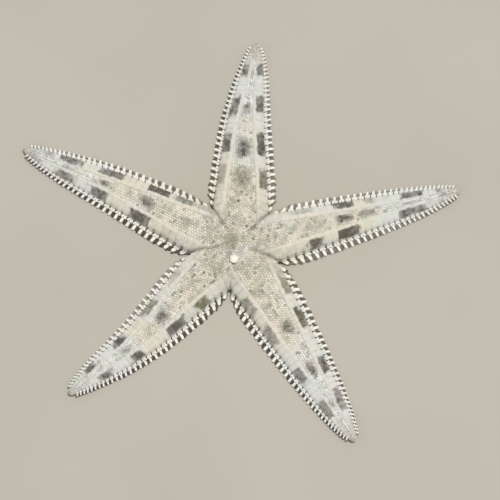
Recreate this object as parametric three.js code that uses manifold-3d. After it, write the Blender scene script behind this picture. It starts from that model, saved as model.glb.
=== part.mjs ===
// A sand sea star of the genus Archaster, life size, lying flat on its tube-foot side.
// Millimetres, +Z up. The floor is z = 0, the front is -Y, and the origin is the middle
// of the whole animal's footprint.
//
// The disc is the five-cornered middle of the body. Each arm begins on the line between
// its two pits, the corners where it meets its neighbours, and carries a row of flat
// spines along each side. A terminal plate closes each arm, and the madreporite is the
// small sieve plate near the middle of the disc.
import * as THREE from "three";
import { mergeVertices } from "three/addons/utils/BufferGeometryUtils.js";
import Module from "manifold-3d";

const { clamp, degToRad, lerp, smoothstep } = THREE.MathUtils;
const UP = new THREE.Vector3(0, 0, 1);
const wasm = await Module();
wasm.setup();

// ---- Driving dimensions ----

// The arms, counterclockwise. angle: from +X, in degrees. length: disc centre to tip.
// girth: share of the standard width. bow: how far the middle of the free arm lies to
// the left of a straight line.
const ARMS = [
  { name: "right", angle: 15.0, length: 56.8, girth: 0.95, bow: 0 },
  { name: "back", angle: 84.9, length: 53.1, girth: 1.1, bow: 0.7 },
  { name: "left", angle: 154.2, length: 58.4, girth: 0.98, bow: -0.5 },
  { name: "front_left", angle: 222.0, length: 54.1, girth: 1.02, bow: 1.35 },
  { name: "front_right", angle: 300.7, length: 55.4, girth: 1.05, bow: 0 },
];

// Widths along an arm, where t runs from 0 at the disc's centre to 1 at the tip.
const ROOT_HALF_WIDTH = 7.35; // the side walls' line, carried in to t = 0
const WIDTH_TAPER = 4.7; // lost by t = 1
const TIP_ROUNDING = 7; // a higher power keeps the arm wide for longer
const TIP_THINNING = 36; // the same, for its height
const FLANK_WIDTH = 2.2; // the marginal plates' sloping side, seen from above
const FLANK_SHARE = 0.6; // its largest share of the half width
const RIM_WIDTH = 1.0; // the marginal plates' pale upper rim, inside the flank
const RIM_SHARE = 0.4; // its largest share of what the flank leaves

// Heights.
const RIM_HEIGHT = 6.5; // at t = 0
const RIM_DROP = 4.9; // lost by t = 1
const FURROW_DEPTH = 0.35; // between the field of paxillae and the rim
const RIM_ROUNDING = 0.25; // how far its outer side lies below its crest
const DOME_RISE = 0.6; // the disc's middle over its rim
const DOME_REACH = 0.3; // where the dome has died away, as t
const EDGE_TOP = 1.6; // the upright edge that carries the spines
const EDGE_TOP_DROP = 0.45;
const EDGE_BOTTOM = 0.45;
const SHOULDER = { out: 0.72, up: 0.62 }; // shares of the flank, where it swells most
const TIP_LIFT = 0.9; // the arm's end turns up off the floor
const LIFT_FROM = 0.8;

// The underside: a flat band to rest on, each side of the groove for the tube feet.
const FOOT_SHARE = 0.62; // the band's outer edge, as a share of the half width
const GROOVE_HALF_WIDTH = 1.25;
const GROOVE_DEPTH = 1.9;
const GROOVE_TAPER = 0.65;
const MOUTH_RADIUS = 1.7; // at the grooves
const JAW_RADIUS = 1.0; // at the jaws, which point inwards between the arms
const MOUTH_DEPTH = 3.2;

// Marginal plates, one spine on each.
const PLATES = 32; // along each side of an arm
const PLATE_CROWDING = 0.45; // how much shorter they grow towards the tip
const ARM_END = 0.975; // where the terminal plate takes over, as t
const SPINE_LENGTH = 0.45; // plus this many plate lengths:
const SPINE_LENGTH_PER_PLATE = 0.9;
const SPINE_WIDTH_SHARE = 0.46; // of a plate's length
const SPINE_LEAST_WIDTH = 0.44;
const SPINE_THICKNESS = 0.6;
const SPINE_TAPER = 0.8;
const SPINE_ROOT = 0.7; // how deep a spine is set in the body
const SPINE_HEIGHT = 0.9; // of its root, above the underside
const SPINE_DIP = 8; // degrees below level
const SPINE_ANGLE = 80; // from the arm's axis, in degrees
const SPINE_LEAN = 38; // how much nearer the axis the last spines point
const PIT_TURN = 48; // how much nearer the axis the first spine points
const PIT_TURN_FADE = 2.2; // over this many plates
const PIT_SHORTENING = 0.45; // share of its length that the first spine lacks
const TIP_SHORTENING = 0.45; // share that the last spine lacks

// angle and distance place it from the disc's centre; its edge rises out of the disc by
// nothing, its middle by rise, and its foot is sunk in.
const MADREPORITE = { angle: 261, distance: 4.0, radius: 1.1, rise: 0.45, sunk: 0.5 };
const MADREPORITE_SIDES = 12;
const MADREPORITE_BEVEL = { radius: 0.75, rise: 0.7 }; // shares, where its rim turns in

const ROOT_DISTANCE = 10; // from the disc's centre, where an arm may begin to bow
const GAP = 0.3; // between neighbouring pieces

// The look of each kind of piece.
const SKIN = new THREE.MeshStandardMaterial({ color: 0xcdc7b6, roughness: 0.8, metalness: 0 });
const TERMINAL = new THREE.MeshStandardMaterial({ color: 0xb9b5aa, roughness: 0.65, metalness: 0 });
const SIEVE = new THREE.MeshStandardMaterial({ color: 0xf4efe2, roughness: 0.6, metalness: 0 });

const STATIONS = PLATES / 4; // lofted steps along an arm, four plates to a step
const TIP_STATIONS = [0, 0.6, 0.95]; // along a terminal plate
const DISC_RINGS = [0.3, 0.6, 0.82, 0.92, 1]; // shares of the way out to the disc's side
const UNDER_RINGS = [1, 0.6]; // the same, back in to the mouth

// ---- Shape of an arm ----

const halfWidth = (arm, t) =>
  arm.girth * (ROOT_HALF_WIDTH - WIDTH_TAPER * t) * Math.sqrt(1 - t ** TIP_ROUNDING);

// One side's outline at t, from the middle of the top, over the rim, to the middle of
// the underside, as [distance from the midline, height].
function outline(arm, t) {
  const width = halfWidth(arm, t);
  const flank = Math.min(FLANK_WIDTH, FLANK_SHARE * width);
  const rim = Math.min(RIM_WIDTH, RIM_SHARE * (width - flank));
  const lift = TIP_LIFT * smoothstep(t, LIFT_FROM, 1);
  const endRounding = Math.sqrt(1 - t ** TIP_THINNING);
  const top = RIM_HEIGHT - RIM_DROP * t;
  const middle = top + DOME_RISE * (1 - smoothstep(t, 0, DOME_REACH));
  const edge = EDGE_TOP - EDGE_TOP_DROP * t;
  const groove = GROOVE_HALF_WIDTH * (1 - GROOVE_TAPER * t);
  const points = [
    [0, middle],
    [width - flank - rim, top - FURROW_DEPTH],
    [width - flank - rim / 2, top],
    [width - flank, top - RIM_ROUNDING],
    [width - flank + SHOULDER.out * flank, lerp(edge, top, SHOULDER.up)],
    [width, edge],
    [width, EDGE_BOTTOM],
    [FOOT_SHARE * width, 0],
    [Math.min(groove, 0.5 * FOOT_SHARE * width), 0],
    [0, GROOVE_DEPTH * (1 - GROOVE_TAPER * t)],
  ];
  const level = 0.5 * edge; // the height that a rounded end closes on
  return points.map(([y, z]) => [y, lift + lerp(level, z, endRounding)]);
}
const EDGE_POINT = 5; // where the outline is widest
const FLANK_POINTS = [0, 8, 7, 2]; // outline points whose distances the disc is built on

// A point of the body: s along the arm, y to its left, z up.
function place(arm, s, y, z) {
  const free = clamp((s - ROOT_DISTANCE) / (arm.length - ROOT_DISTANCE), 0, 1);
  const lean = arm.bow * Math.sin(Math.PI * free) ** 2;
  return new THREE.Vector3(s, y + lean, z).applyAxisAngle(UP, degToRad(arm.angle));
}

// How far along each of two neighbouring arms their side walls meet.
function pitBetween(arm, next) {
  const turn = degToRad((next.angle - arm.angle + 360) % 360);
  let [s, sNext] = [0, 0];
  for (let round = 0; round < 8; round++) {
    const w = halfWidth(arm, s / arm.length);
    const wNext = halfWidth(next, sNext / next.length);
    s = (w * Math.cos(turn) + wNext) / Math.sin(turn);
    sNext = (wNext * Math.cos(turn) + w) / Math.sin(turn);
  }
  return [s, sNext];
}
ARMS.forEach((arm, i) => {
  const next = ARMS[(i + 1) % ARMS.length];
  [arm.leftPit, next.rightPit] = pitBetween(arm, next);
});

// The distance along an arm at u, from 0 at its root to 1 at its end, for a point that
// lies v of the half width to the left. The root line runs from pit to pit.
function along(arm, u, v) {
  const root = lerp(arm.rightPit, arm.leftPit, (v + 1) / 2);
  const share = u * (1 + PLATE_CROWDING - PLATE_CROWDING * u);
  return lerp(root + GAP / 2, ARM_END * arm.length, share);
}

// The whole outline as a ring of points, with sAt(v) giving each point's place along.
function ring(arm, sAt) {
  const sidePoint = (i, side) => {
    const middle = outline(arm, sAt(0) / arm.length);
    const s = sAt((side * middle[i][0]) / middle[EDGE_POINT][0]);
    const [y, z] = outline(arm, s / arm.length)[i];
    return place(arm, s, side * y, z);
  };
  const last = outline(arm, 0).length - 1;
  const left = Array.from({ length: last + 1 }, (_, i) => sidePoint(i, 1));
  const right = Array.from({ length: last - 1 }, (_, i) => sidePoint(last - 1 - i, -1));
  return [...left, ...right];
}

// ---- Solids ----

function geometryOf(points, faces) {
  const geometry = new THREE.BufferGeometry().setFromPoints(points);
  return geometry.setIndex(faces.flat());
}

// Rings of points joined into one closed body, with a fan at each end.
function loft(rings) {
  const around = rings[0].length;
  const points = rings.flat();
  const faces = [];
  for (let r = 0; r + 1 < rings.length; r++) {
    for (let i = 0; i < around; i++) {
      const [a, b] = [r * around + i, r * around + ((i + 1) % around)];
      faces.push([a, a + around, b + around], [a, b + around, b]);
    }
  }
  for (const [r, flip] of [[0, false], [rings.length - 1, true]]) {
    const middle = new THREE.Vector3();
    rings[r].forEach((p) => middle.addScaledVector(p, 1 / around));
    points.push(middle);
    for (let i = 0; i < around; i++) {
      const [a, b] = [r * around + i, r * around + ((i + 1) % around)];
      faces.push(flip ? [points.length - 1, b, a] : [points.length - 1, a, b]);
    }
  }
  return geometryOf(points, faces);
}

function toSolid(geometry) {
  const bare = geometry.index ? geometry.toNonIndexed() : geometry.clone();
  ["normal", "uv"].forEach((name) => bare.deleteAttribute(name));
  const merged = mergeVertices(bare, 1e-4);
  return new wasm.Manifold(new wasm.Mesh({
    numProp: 3,
    vertProperties: merged.attributes.position.array,
    triVerts: new Uint32Array(merged.index.array),
  }));
}

function toGeometry(solid) {
  const mesh = solid.getMesh();
  return new THREE.BufferGeometry()
    .setAttribute("position", new THREE.BufferAttribute(mesh.vertProperties, 3))
    .setIndex(new THREE.BufferAttribute(mesh.triVerts, 1));
}

function meshOf(name, geometry, material) {
  const mesh = new THREE.Mesh(geometry, material);
  mesh.name = name;
  return mesh;
}

// One flat, blunt spine on plate k. side is 1 on the arm's left and -1 on its right.
function spine(arm, k, side) {
  const s = along(arm, (k + 0.5) / PLATES, side);
  const plate = along(arm, (k + 1) / PLATES, side) - along(arm, k / PLATES, side);
  const nearPit = Math.exp(-k / PIT_TURN_FADE);
  const reach = SPINE_LENGTH + SPINE_LENGTH_PER_PLATE * plate;
  const nearTip = (k / PLATES) ** 3;
  const length = reach * (1 - PIT_SHORTENING * nearPit - TIP_SHORTENING * nearTip);
  const width = Math.max(SPINE_LEAST_WIDTH, SPINE_WIDTH_SHARE * plate);
  const blade = new THREE.Shape([
    new THREE.Vector2(-SPINE_ROOT, -width / 2),
    new THREE.Vector2(length, (-width * SPINE_TAPER) / 2),
    new THREE.Vector2(length, (width * SPINE_TAPER) / 2),
    new THREE.Vector2(-SPINE_ROOT, width / 2),
  ]);
  const t = s / arm.length;
  const lift = TIP_LIFT * smoothstep(t, LIFT_FROM, 1);
  const root = place(arm, s, side * halfWidth(arm, t), SPINE_HEIGHT + lift);
  const lean = SPINE_LEAN * (k / PLATES) ** 2 + PIT_TURN * nearPit;
  const heading = arm.angle + side * (SPINE_ANGLE - lean);
  return new THREE.ExtrudeGeometry(blade, { depth: SPINE_THICKNESS, bevelEnabled: false })
    .translate(0, 0, -SPINE_THICKNESS / 2)
    .rotateY(degToRad(SPINE_DIP))
    .rotateZ(degToRad(heading))
    .translate(root.x, root.y, root.z);
}

function armGeometry(arm) {
  const rings = Array.from({ length: STATIONS + 1 }, (_, i) =>
    ring(arm, (v) => along(arm, i / STATIONS, v)));
  let solid = toSolid(loft(rings));
  for (let k = 0; k < PLATES; k++) {
    for (const side of [1, -1]) {
      solid = solid.add(toSolid(spine(arm, k, side)));
    }
  }
  return toGeometry(solid);
}

function terminalPlateGeometry(arm) {
  const from = ARM_END * arm.length + GAP;
  return loft(TIP_STATIONS.map((share) => ring(arm, () => lerp(from, arm.length, share))));
}

// The height of the top at t, y from the midline.
function topHeight(arm, t, y) {
  const points = outline(arm, t).slice(0, EDGE_POINT + 1);
  const i = points.findIndex((p) => p[0] >= y);
  if (i < 1) return points.at(i)[1];
  const [[y0, z0], [y1, z1]] = [points[i - 1], points[i]];
  return lerp(z0, z1, (y - y0) / (y1 - y0));
}

// One line of points from the middle of the disc's top, out to its side and back under
// it to the mouth, in the direction that lies v of an arm's half width off its midline.
function discColumn(arm, v, underside) {
  const s = lerp(arm.rightPit, arm.leftPit, (v + 1) / 2) - GAP / 2;
  const y = v * halfWidth(arm, s / arm.length);
  const reach = Math.hypot(s, y);
  const mouth = lerp(MOUTH_RADIUS, JAW_RADIUS, Math.abs(v));
  const point = (share, z) => place(arm, share * s, share * y, z);
  const top = DISC_RINGS.map((q) =>
    point(q, topHeight(arm, (q * s) / arm.length, Math.abs(q * y))));
  const under = UNDER_RINGS.map((q) => point(q, underside * (underside < 1 ? q * q : 1)));
  return [...top, ...under, point(mouth / reach, underside), point(mouth / reach, MOUTH_DEPTH)];
}

function discGeometry() {
  const columns = ARMS.flatMap((arm) => {
    const root = outline(arm, arm.leftPit / arm.length);
    const width = root[EDGE_POINT][0];
    const inner = FLANK_POINTS.map((i) => [root[i][0] / width, i === 0 ? root.at(-1)[1] : 0]);
    const right = [[1, EDGE_BOTTOM], ...inner.slice(1).reverse()].map(([v, z]) => [-v, z]);
    return [...right, ...inner].map(([v, z]) => discColumn(arm, v, z));
  });
  const rows = columns[0].length;
  const points = columns.flat();
  const topMiddle = points.push(place(ARMS[0], 0, 0, RIM_HEIGHT + DOME_RISE)) - 1;
  const roofMiddle = points.push(place(ARMS[0], 0, 0, MOUTH_DEPTH)) - 1;
  const faces = [];
  columns.forEach((_, c) => {
    const [a, b] = [c * rows, ((c + 1) % columns.length) * rows];
    faces.push([topMiddle, a, b], [roofMiddle, b + rows - 1, a + rows - 1]);
    for (let r = 0; r + 1 < rows; r++) {
      faces.push([a + r, a + r + 1, b + r + 1], [a + r, b + r + 1, b + r]);
    }
  });
  const { radius, sunk } = MADREPORITE;
  const bottom = -sunk - GAP;
  const aboveDisc = RIM_HEIGHT;
  const seat = turnedAtMadreporite([
    [0, bottom],
    [radius + GAP, bottom],
    [radius + GAP, aboveDisc],
    [0, aboveDisc],
  ]);
  return toGeometry(toSolid(geometryOf(points, faces)).subtract(toSolid(seat)));
}

// A profile of [radius, height over the disc] points, turned about the madreporite's axis.
function turnedAtMadreporite(profile) {
  const { angle, distance } = MADREPORITE;
  const at = new THREE.Vector3(distance, 0, RIM_HEIGHT + 0.5 * DOME_RISE);
  at.applyAxisAngle(UP, degToRad(angle));
  const points = profile.map(([x, y]) => new THREE.Vector2(x, y));
  return new THREE.LatheGeometry(points, MADREPORITE_SIDES)
    .rotateX(Math.PI / 2)
    .translate(at.x, at.y, at.z);
}

function madreporiteGeometry() {
  const { radius, rise, sunk } = MADREPORITE;
  return turnedAtMadreporite([
    [0, -sunk],
    [radius, -sunk],
    [radius, 0],
    [MADREPORITE_BEVEL.radius * radius, MADREPORITE_BEVEL.rise * rise],
    [0, rise],
  ]);
}

const seaStar = new THREE.Group();
seaStar.add(meshOf("disc", discGeometry(), SKIN));
seaStar.add(meshOf("madreporite", madreporiteGeometry(), SIEVE));
for (const arm of ARMS) {
  seaStar.add(meshOf(`arm_${arm.name}`, armGeometry(arm), SKIN));
  seaStar.add(meshOf(`terminal_plate_${arm.name}`, terminalPlateGeometry(arm), TERMINAL));
}

// The origin is the middle of the footprint, on the floor.
const footprint = new THREE.Box3().setFromObject(seaStar);
const middle = footprint.getCenter(new THREE.Vector3());
seaStar.position.set(-middle.x, -middle.y, -footprint.min.z);

export default seaStar;
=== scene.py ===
"""The looks of a sand sea star of the genus Archaster, life size.

The animal is one continuous skin with a coat of small hard parts. Flower-topped pillars,
the paxillae, cover the upper side. Marginal plates with a pavement of granules run along
both sides of every arm, with a comb of flat blunt spines. Scales cover the underside,
and slender spines guard the grooves from which the tube feet come.

Shapes are worked out in millimetres. A place is given by an arm, the distance s along
it from the disc's centre, the distance y to its left and the height z. They are turned
into the row frame, in metres, when a mesh is made.
"""

import math

import bmesh
import bpy
import numpy as np
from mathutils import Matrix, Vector


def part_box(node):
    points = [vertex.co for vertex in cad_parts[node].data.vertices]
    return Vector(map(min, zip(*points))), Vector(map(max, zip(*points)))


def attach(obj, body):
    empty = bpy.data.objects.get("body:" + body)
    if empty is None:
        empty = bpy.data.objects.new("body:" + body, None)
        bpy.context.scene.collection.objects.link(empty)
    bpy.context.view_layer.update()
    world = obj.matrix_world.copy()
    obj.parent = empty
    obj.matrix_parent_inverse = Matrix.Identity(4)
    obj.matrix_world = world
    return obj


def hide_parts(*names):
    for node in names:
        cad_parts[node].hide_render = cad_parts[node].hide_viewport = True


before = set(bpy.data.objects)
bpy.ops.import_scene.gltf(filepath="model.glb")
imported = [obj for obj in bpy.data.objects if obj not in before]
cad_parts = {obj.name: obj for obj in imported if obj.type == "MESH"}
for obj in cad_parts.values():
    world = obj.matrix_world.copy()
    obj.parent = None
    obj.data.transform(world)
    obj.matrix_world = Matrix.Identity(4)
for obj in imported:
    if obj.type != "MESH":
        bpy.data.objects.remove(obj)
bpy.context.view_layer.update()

MM = 0.001
rng = np.random.default_rng(40)

# ---- The body's sizes, as in the solids ----

ROOT_HALF_WIDTH = 7.35
WIDTH_TAPER = 4.7
TIP_ROUNDING = 7
TIP_THINNING = 36
FLANK_WIDTH = 2.2
FLANK_SHARE = 0.6
RIM_WIDTH = 1.0
RIM_SHARE = 0.4
RIM_HEIGHT = 6.5
RIM_DROP = 4.9
FURROW_DEPTH = 0.35
RIM_ROUNDING = 0.25
DOME_RISE = 0.6
DOME_REACH = 0.3
EDGE_TOP = 1.6
EDGE_TOP_DROP = 0.45
EDGE_BOTTOM = 0.45
SHOULDER_OUT = 0.72
SHOULDER_UP = 0.62
TIP_LIFT = 0.9
LIFT_FROM = 0.8
FOOT_SHARE = 0.62
GROOVE_HALF_WIDTH = 1.25
GROOVE_DEPTH = 1.9
GROOVE_TAPER = 0.65
MOUTH_RADIUS = 1.7
MOUTH_DEPTH = 3.2
PLATES = 32
PLATE_CROWDING = 0.45
ARM_END = 0.975
GAP = 0.3
ROOT_DISTANCE = 10
SPINE_LENGTH = 0.45
SPINE_LENGTH_PER_PLATE = 0.9
SPINE_WIDTH_SHARE = 0.46
SPINE_LEAST_WIDTH = 0.44
SPINE_THICKNESS = 0.6
SPINE_HEIGHT = 0.9
SPINE_DIP = 8
SPINE_ANGLE = 80
SPINE_LEAN = 38
PIT_TURN = 48
PIT_TURN_FADE = 2.2
PIT_SHORTENING = 0.45
TIP_SHORTENING = 0.45
MADREPORITE_ANGLE = 261
MADREPORITE_DISTANCE = 4.0
MADREPORITE_RADIUS = 1.1
MADREPORITE_RISE = 0.45

# How deep the skin lies in the solids, under each kind of coat.
PAXILLA_COAT = 0.45
PLATE_COAT = 0.27
WALL_COAT = 0.2
FOOT_COAT = 0.3
COAT_TAPER = 0.3  # of the paxillae and plates, from root to tip
WALL_COAT_TAPER = 0.45

PATCH = 0.003  # a small part's own patch on the unwrap
UNWRAP_MARGIN = 0.02


def smoothstep(x, low, high):
    """0 up to low, 1 from high on, with a soft rise between."""
    share = np.clip((x - low) / (high - low), 0.0, 1.0)
    return share * share * (3 - 2 * share)


def lerp(a, b, share):
    """a at share 0, b at share 1."""
    return a + (b - a) * share


def vectors(*parts):
    """Arrays or numbers side by side, as the last axis of one array."""
    return np.stack(np.broadcast_arrays(*parts), axis=-1)


# ---- The arms ----


class Arm:
    """angle in degrees from +X, counterclockwise. bow is a lean to the left, in mm.

    left, right and middle list the dark marks on the two flanks and along the middle,
    as (from, to, strength, tint). from and to are shares of the arm's length. tint runs
    from -1 for olive, over 0 for grey, to 1 for mauve. gaps says how dark the spinelets
    between the spines are, on the left and on the right: these dark spinelets are painted
    shadow in the gaps, darker on the sides where the shadows fall. warmth is above 0 for
    an arm more yellow than the others, below 0 for one more grey.
    """

    def __init__(self, name, angle, length, girth, bow, left, right, middle, gaps, warmth):
        self.name = name
        self.angle = math.radians(angle)
        self.length = length
        self.girth = girth
        self.bow = bow
        self.marks = {1: left, -1: right, 0: middle}
        self.spinelet_painted_shade = {1: gaps[0], -1: gaps[1]}
        self.warmth = warmth


ARMS = [
    Arm(
        "right", 15.0, 56.8, 0.95, 0.0,
        left=[(0.27, 0.35, 0.3, 0.2), (0.44, 0.53, 1.05, 0.1), (0.58, 0.615, 0.5, 0.4),
              (0.735, 0.83, 1.1, 0.0), (0.885, 0.92, 0.6, 0.2)],
        right=[(0.3, 0.35, 1.05, -0.2), (0.435, 0.535, 1.15, -0.1), (0.715, 0.825, 1.0, 0.1),
               (0.88, 0.92, 0.5, 0.3)],
        middle=[(0.3, 0.34, 0.35, -0.3), (0.44, 0.51, 0.95, 0.2), (0.55, 0.62, 0.75, 0.7),
                (0.74, 0.82, 0.5, 0.5), (0.89, 0.93, 0.5, 0.2)],
        gaps=(0.8, 1.0),
        warmth=0.05,
    ),
    Arm(
        "back", 84.9, 53.1, 1.1, 0.7,
        left=[(0.285, 0.375, 0.5, -0.8), (0.455, 0.54, 0.9, 0.0), (0.625, 0.725, 1.05, 0.2),
              (0.825, 0.885, 1.05, 0.2)],
        right=[(0.28, 0.375, 0.8, -0.4), (0.445, 0.555, 1.15, 0.0), (0.655, 0.735, 1.1, 0.0),
               (0.835, 0.895, 1.05, 0.1)],
        middle=[(0.28, 0.37, 0.7, -0.4), (0.43, 0.515, 1.0, 0.1), (0.645, 0.695, 0.9, 0.0),
                (0.82, 0.86, 0.6, 0.5)],
        gaps=(1.4, 0.95),
        warmth=0.2,
    ),
    Arm(
        "left", 154.2, 58.4, 0.98, -0.5,
        left=[(0.26, 0.31, 0.2, -0.2), (0.375, 0.465, 0.95, 0.2), (0.58, 0.665, 1.05, 0.1),
              (0.75, 0.825, 1.0, 0.8), (0.915, 0.97, 0.5, 0.3)],
        right=[(0.15, 0.225, 0.4, -0.2), (0.235, 0.315, 0.75, -0.2), (0.345, 0.45, 1.2, 0.1),
               (0.555, 0.665, 0.85, 0.1), (0.75, 0.83, 1.1, 0.3), (0.87, 0.915, 0.5, 0.2)],
        middle=[(0.25, 0.28, 0.2, -0.2), (0.385, 0.455, 0.75, 0.0), (0.49, 0.515, 0.4, 0.2),
                (0.595, 0.645, 0.95, 0.2), (0.77, 0.81, 0.5, 0.5)],
        gaps=(1.8, 0.95),
        warmth=0.28,
    ),
    Arm(
        "front_left", 222.0, 54.1, 1.02, 1.35,
        left=[(0.245, 0.315, 1.0, -0.9), (0.395, 0.495, 1.15, 0.25), (0.625, 0.695, 1.05, -0.1),
              (0.795, 0.86, 0.95, 0.0)],
        right=[(0.28, 0.34, 0.35, 0.0), (0.435, 0.52, 0.8, -0.2), (0.645, 0.715, 1.1, 0.0),
               (0.815, 0.89, 1.05, 0.2)],
        middle=[(0.25, 0.285, 0.4, -0.3), (0.44, 0.495, 1.0, 0.3), (0.65, 0.7, 0.5, 0.0),
                (0.82, 0.85, 0.5, 0.3)],
        gaps=(1.8, 0.8),
        warmth=0.12,
    ),
    Arm(
        "front_right", 300.7, 55.4, 1.05, 0.0,
        left=[(0.15, 0.215, 0.3, -0.3), (0.22, 0.3, 0.75, -0.4), (0.375, 0.455, 1.1, -0.3),
              (0.61, 0.68, 1.2, 0.7), (0.77, 0.86, 1.05, 0.8)],
        right=[(0.22, 0.31, 0.6, 0.0), (0.385, 0.46, 0.75, 0.8), (0.6, 0.675, 0.9, 0.0),
               (0.78, 0.86, 0.95, -0.3)],
        middle=[(0.22, 0.27, 0.2, 0.0), (0.4, 0.46, 0.8, 0.1), (0.6, 0.67, 0.9, 0.2),
                (0.79, 0.83, 0.6, 0.4)],
        gaps=(1.35, 1.8),
        warmth=-0.12,
    ),
]


def half_width(arm, t):
    """Of the solid arm at t, the share of its length."""
    rounding = np.sqrt(np.maximum(0.0, 1 - np.clip(t, 0, 1) ** TIP_ROUNDING))
    return arm.girth * (ROOT_HALF_WIDTH - WIDTH_TAPER * t) * rounding


def skin_width(arm, t):
    """Half width of the skin, which lies inside the solid by the coat's depth."""
    return half_width(arm, t) - WALL_COAT * (1 - WALL_COAT_TAPER * t)


def place(arm, s, y, z):
    """Points in the star's own frame, with the disc's centre as origin."""
    free = np.clip((s - ROOT_DISTANCE) / (arm.length - ROOT_DISTANCE), 0, 1)
    y = y + arm.bow * np.sin(np.pi * free) ** 2
    c, si = math.cos(arm.angle), math.sin(arm.angle)
    return vectors(s * c - y * si, s * si + y * c, z)


def turned(arm, directions):
    """Directions along, left and up, turned into the star's frame."""
    c, si = math.cos(arm.angle), math.sin(arm.angle)
    forward, left, up = np.moveaxis(directions, -1, 0)
    return vectors(forward * c - left * si, forward * si + left * c, up)


def pits_between(arm, after, width):
    """How far along two neighbouring arms the lines of their side walls meet."""
    turn = (after.angle - arm.angle) % math.tau
    s, s_after = 0.0, 0.0
    for _ in range(40):
        w = float(width(arm, s / arm.length))
        w_after = float(width(after, s_after / after.length))
        s = (w * math.cos(turn) + w_after) / math.sin(turn)
        s_after = (w_after * math.cos(turn) + w) / math.sin(turn)
    return s, s_after


for i, arm in enumerate(ARMS):
    after = ARMS[(i + 1) % len(ARMS)]
    arm.left_pit, after.right_pit = pits_between(arm, after, half_width)
    arm.left_skin_pit, after.right_skin_pit = pits_between(arm, after, skin_width)


def root_of(arm, v):
    """Where the arm begins, v half widths left of its middle."""
    return lerp(arm.right_pit, arm.left_pit, (v + 1) / 2) + GAP / 2


def along(arm, u, v):
    """Distance along an arm, from 0 at its root to 1 at its end, v half widths left."""
    share = u * (1 + PLATE_CROWDING - PLATE_CROWDING * u)
    return lerp(root_of(arm, v), ARM_END * arm.length, share)


def plate_number(arm, s, side):
    """The marginal plate at s, counted from 0 at the root. Its fraction runs along it."""
    root = root_of(arm, side)
    share = (s - root) / (ARM_END * arm.length - root)
    b = 1 + PLATE_CROWDING
    inside = np.maximum(b * b - 4 * PLATE_CROWDING * share, 0)
    return PLATES * (b - np.sqrt(inside)) / (2 * PLATE_CROWDING)


def plate_length(arm, number, side):
    """Length in mm of a marginal plate at that place in the count."""
    root = root_of(arm, side)
    u = number / PLATES
    slope = 1 + PLATE_CROWDING - 2 * PLATE_CROWDING * u
    return (ARM_END * arm.length - root) * slope / PLATES


def border(arm, s, y):
    """Distance to the line between this arm's part of the disc and its neighbour's."""
    pit_s = np.where(y >= 0, arm.left_skin_pit, arm.right_skin_pit)
    pit_y = skin_width(arm, pit_s / arm.length)
    inside = (s * pit_y - np.abs(y) * pit_s) / np.hypot(pit_s, pit_y)
    return np.where(s < pit_s, inside, 99.0)


def arm_at(x, y):
    """The arm to whose part of the disc a point belongs, with its s and y there."""
    for arm in ARMS:
        c, si = math.cos(arm.angle), math.sin(arm.angle)
        s, left = x * c + y * si, -x * si + y * c
        if s > 0 and border(arm, s, left) >= 0:
            return arm, s, left
    return ARMS[0], x, y


class Sizes:
    """Every width and height of an arm's cross section at t."""

    def __init__(self, arm, t):
        self.width = half_width(arm, t)
        self.flank = np.minimum(FLANK_WIDTH, FLANK_SHARE * self.width)
        self.rim = np.minimum(RIM_WIDTH, RIM_SHARE * (self.width - self.flank))
        self.field = self.width - self.flank - self.rim
        self.top = RIM_HEIGHT - RIM_DROP * t
        self.middle = self.top + DOME_RISE * (1 - smoothstep(t, 0, DOME_REACH))
        self.edge = EDGE_TOP - EDGE_TOP_DROP * t
        groove = GROOVE_HALF_WIDTH * (1 - GROOVE_TAPER * t)
        self.groove = np.minimum(groove, 0.5 * FOOT_SHARE * self.width)
        self.depth = GROOVE_DEPTH * (1 - GROOVE_TAPER * t)

    def outline(self, y):
        """Height of the solid's upper side, y from the midline."""
        corners = [
            (0.0, self.middle),
            (self.field, self.top - FURROW_DEPTH),
            (self.field + self.rim / 2, self.top),
            (self.width - self.flank, self.top - RIM_ROUNDING),
            (self.width - (1 - SHOULDER_OUT) * self.flank,
             lerp(self.edge, self.top, SHOULDER_UP)),
            (self.width, self.edge),
        ]
        height = corners[-1][1]
        for (y0, z0), (y1, z1) in reversed(list(zip(corners, corners[1:]))):
            share = np.clip((y - y0) / np.maximum(y1 - y0, 1e-6), 0, 1)
            height = np.where(y < y1, lerp(z0, z1, share), height)
        return height


def settled(t, z):
    """Lifts the arm's end off the floor and rounds it."""
    level = 0.5 * (EDGE_TOP - EDGE_TOP_DROP * t)
    rounding = np.sqrt(np.maximum(0, 1 - np.clip(t, 0, 1) ** TIP_THINNING))
    lift = TIP_LIFT * smoothstep(t, LIFT_FROM, 1)
    return lift + lerp(level, z, rounding)


SMOOTHING = (-0.24, -0.12, 0.0, 0.12, 0.24)  # heights are averaged over these steps


def top_height(arm, s, y):
    """Height of the skin's upper side."""
    t = s / arm.length
    sizes = Sizes(arm, t)
    across = np.abs(y) * sizes.width / skin_width(arm, t)
    total = 0.0
    for step in SMOOTHING:
        at = np.clip(np.abs(across + step * np.minimum(1, sizes.field)), 0, sizes.width)
        on_plate = smoothstep(at, sizes.field - 0.1, sizes.field + 0.25 * sizes.rim)
        coat = lerp(PAXILLA_COAT, PLATE_COAT, on_plate) * (1 - COAT_TAPER * t)
        total = total + sizes.outline(at) - coat
    return settled(t, total / len(SMOOTHING))


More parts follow.
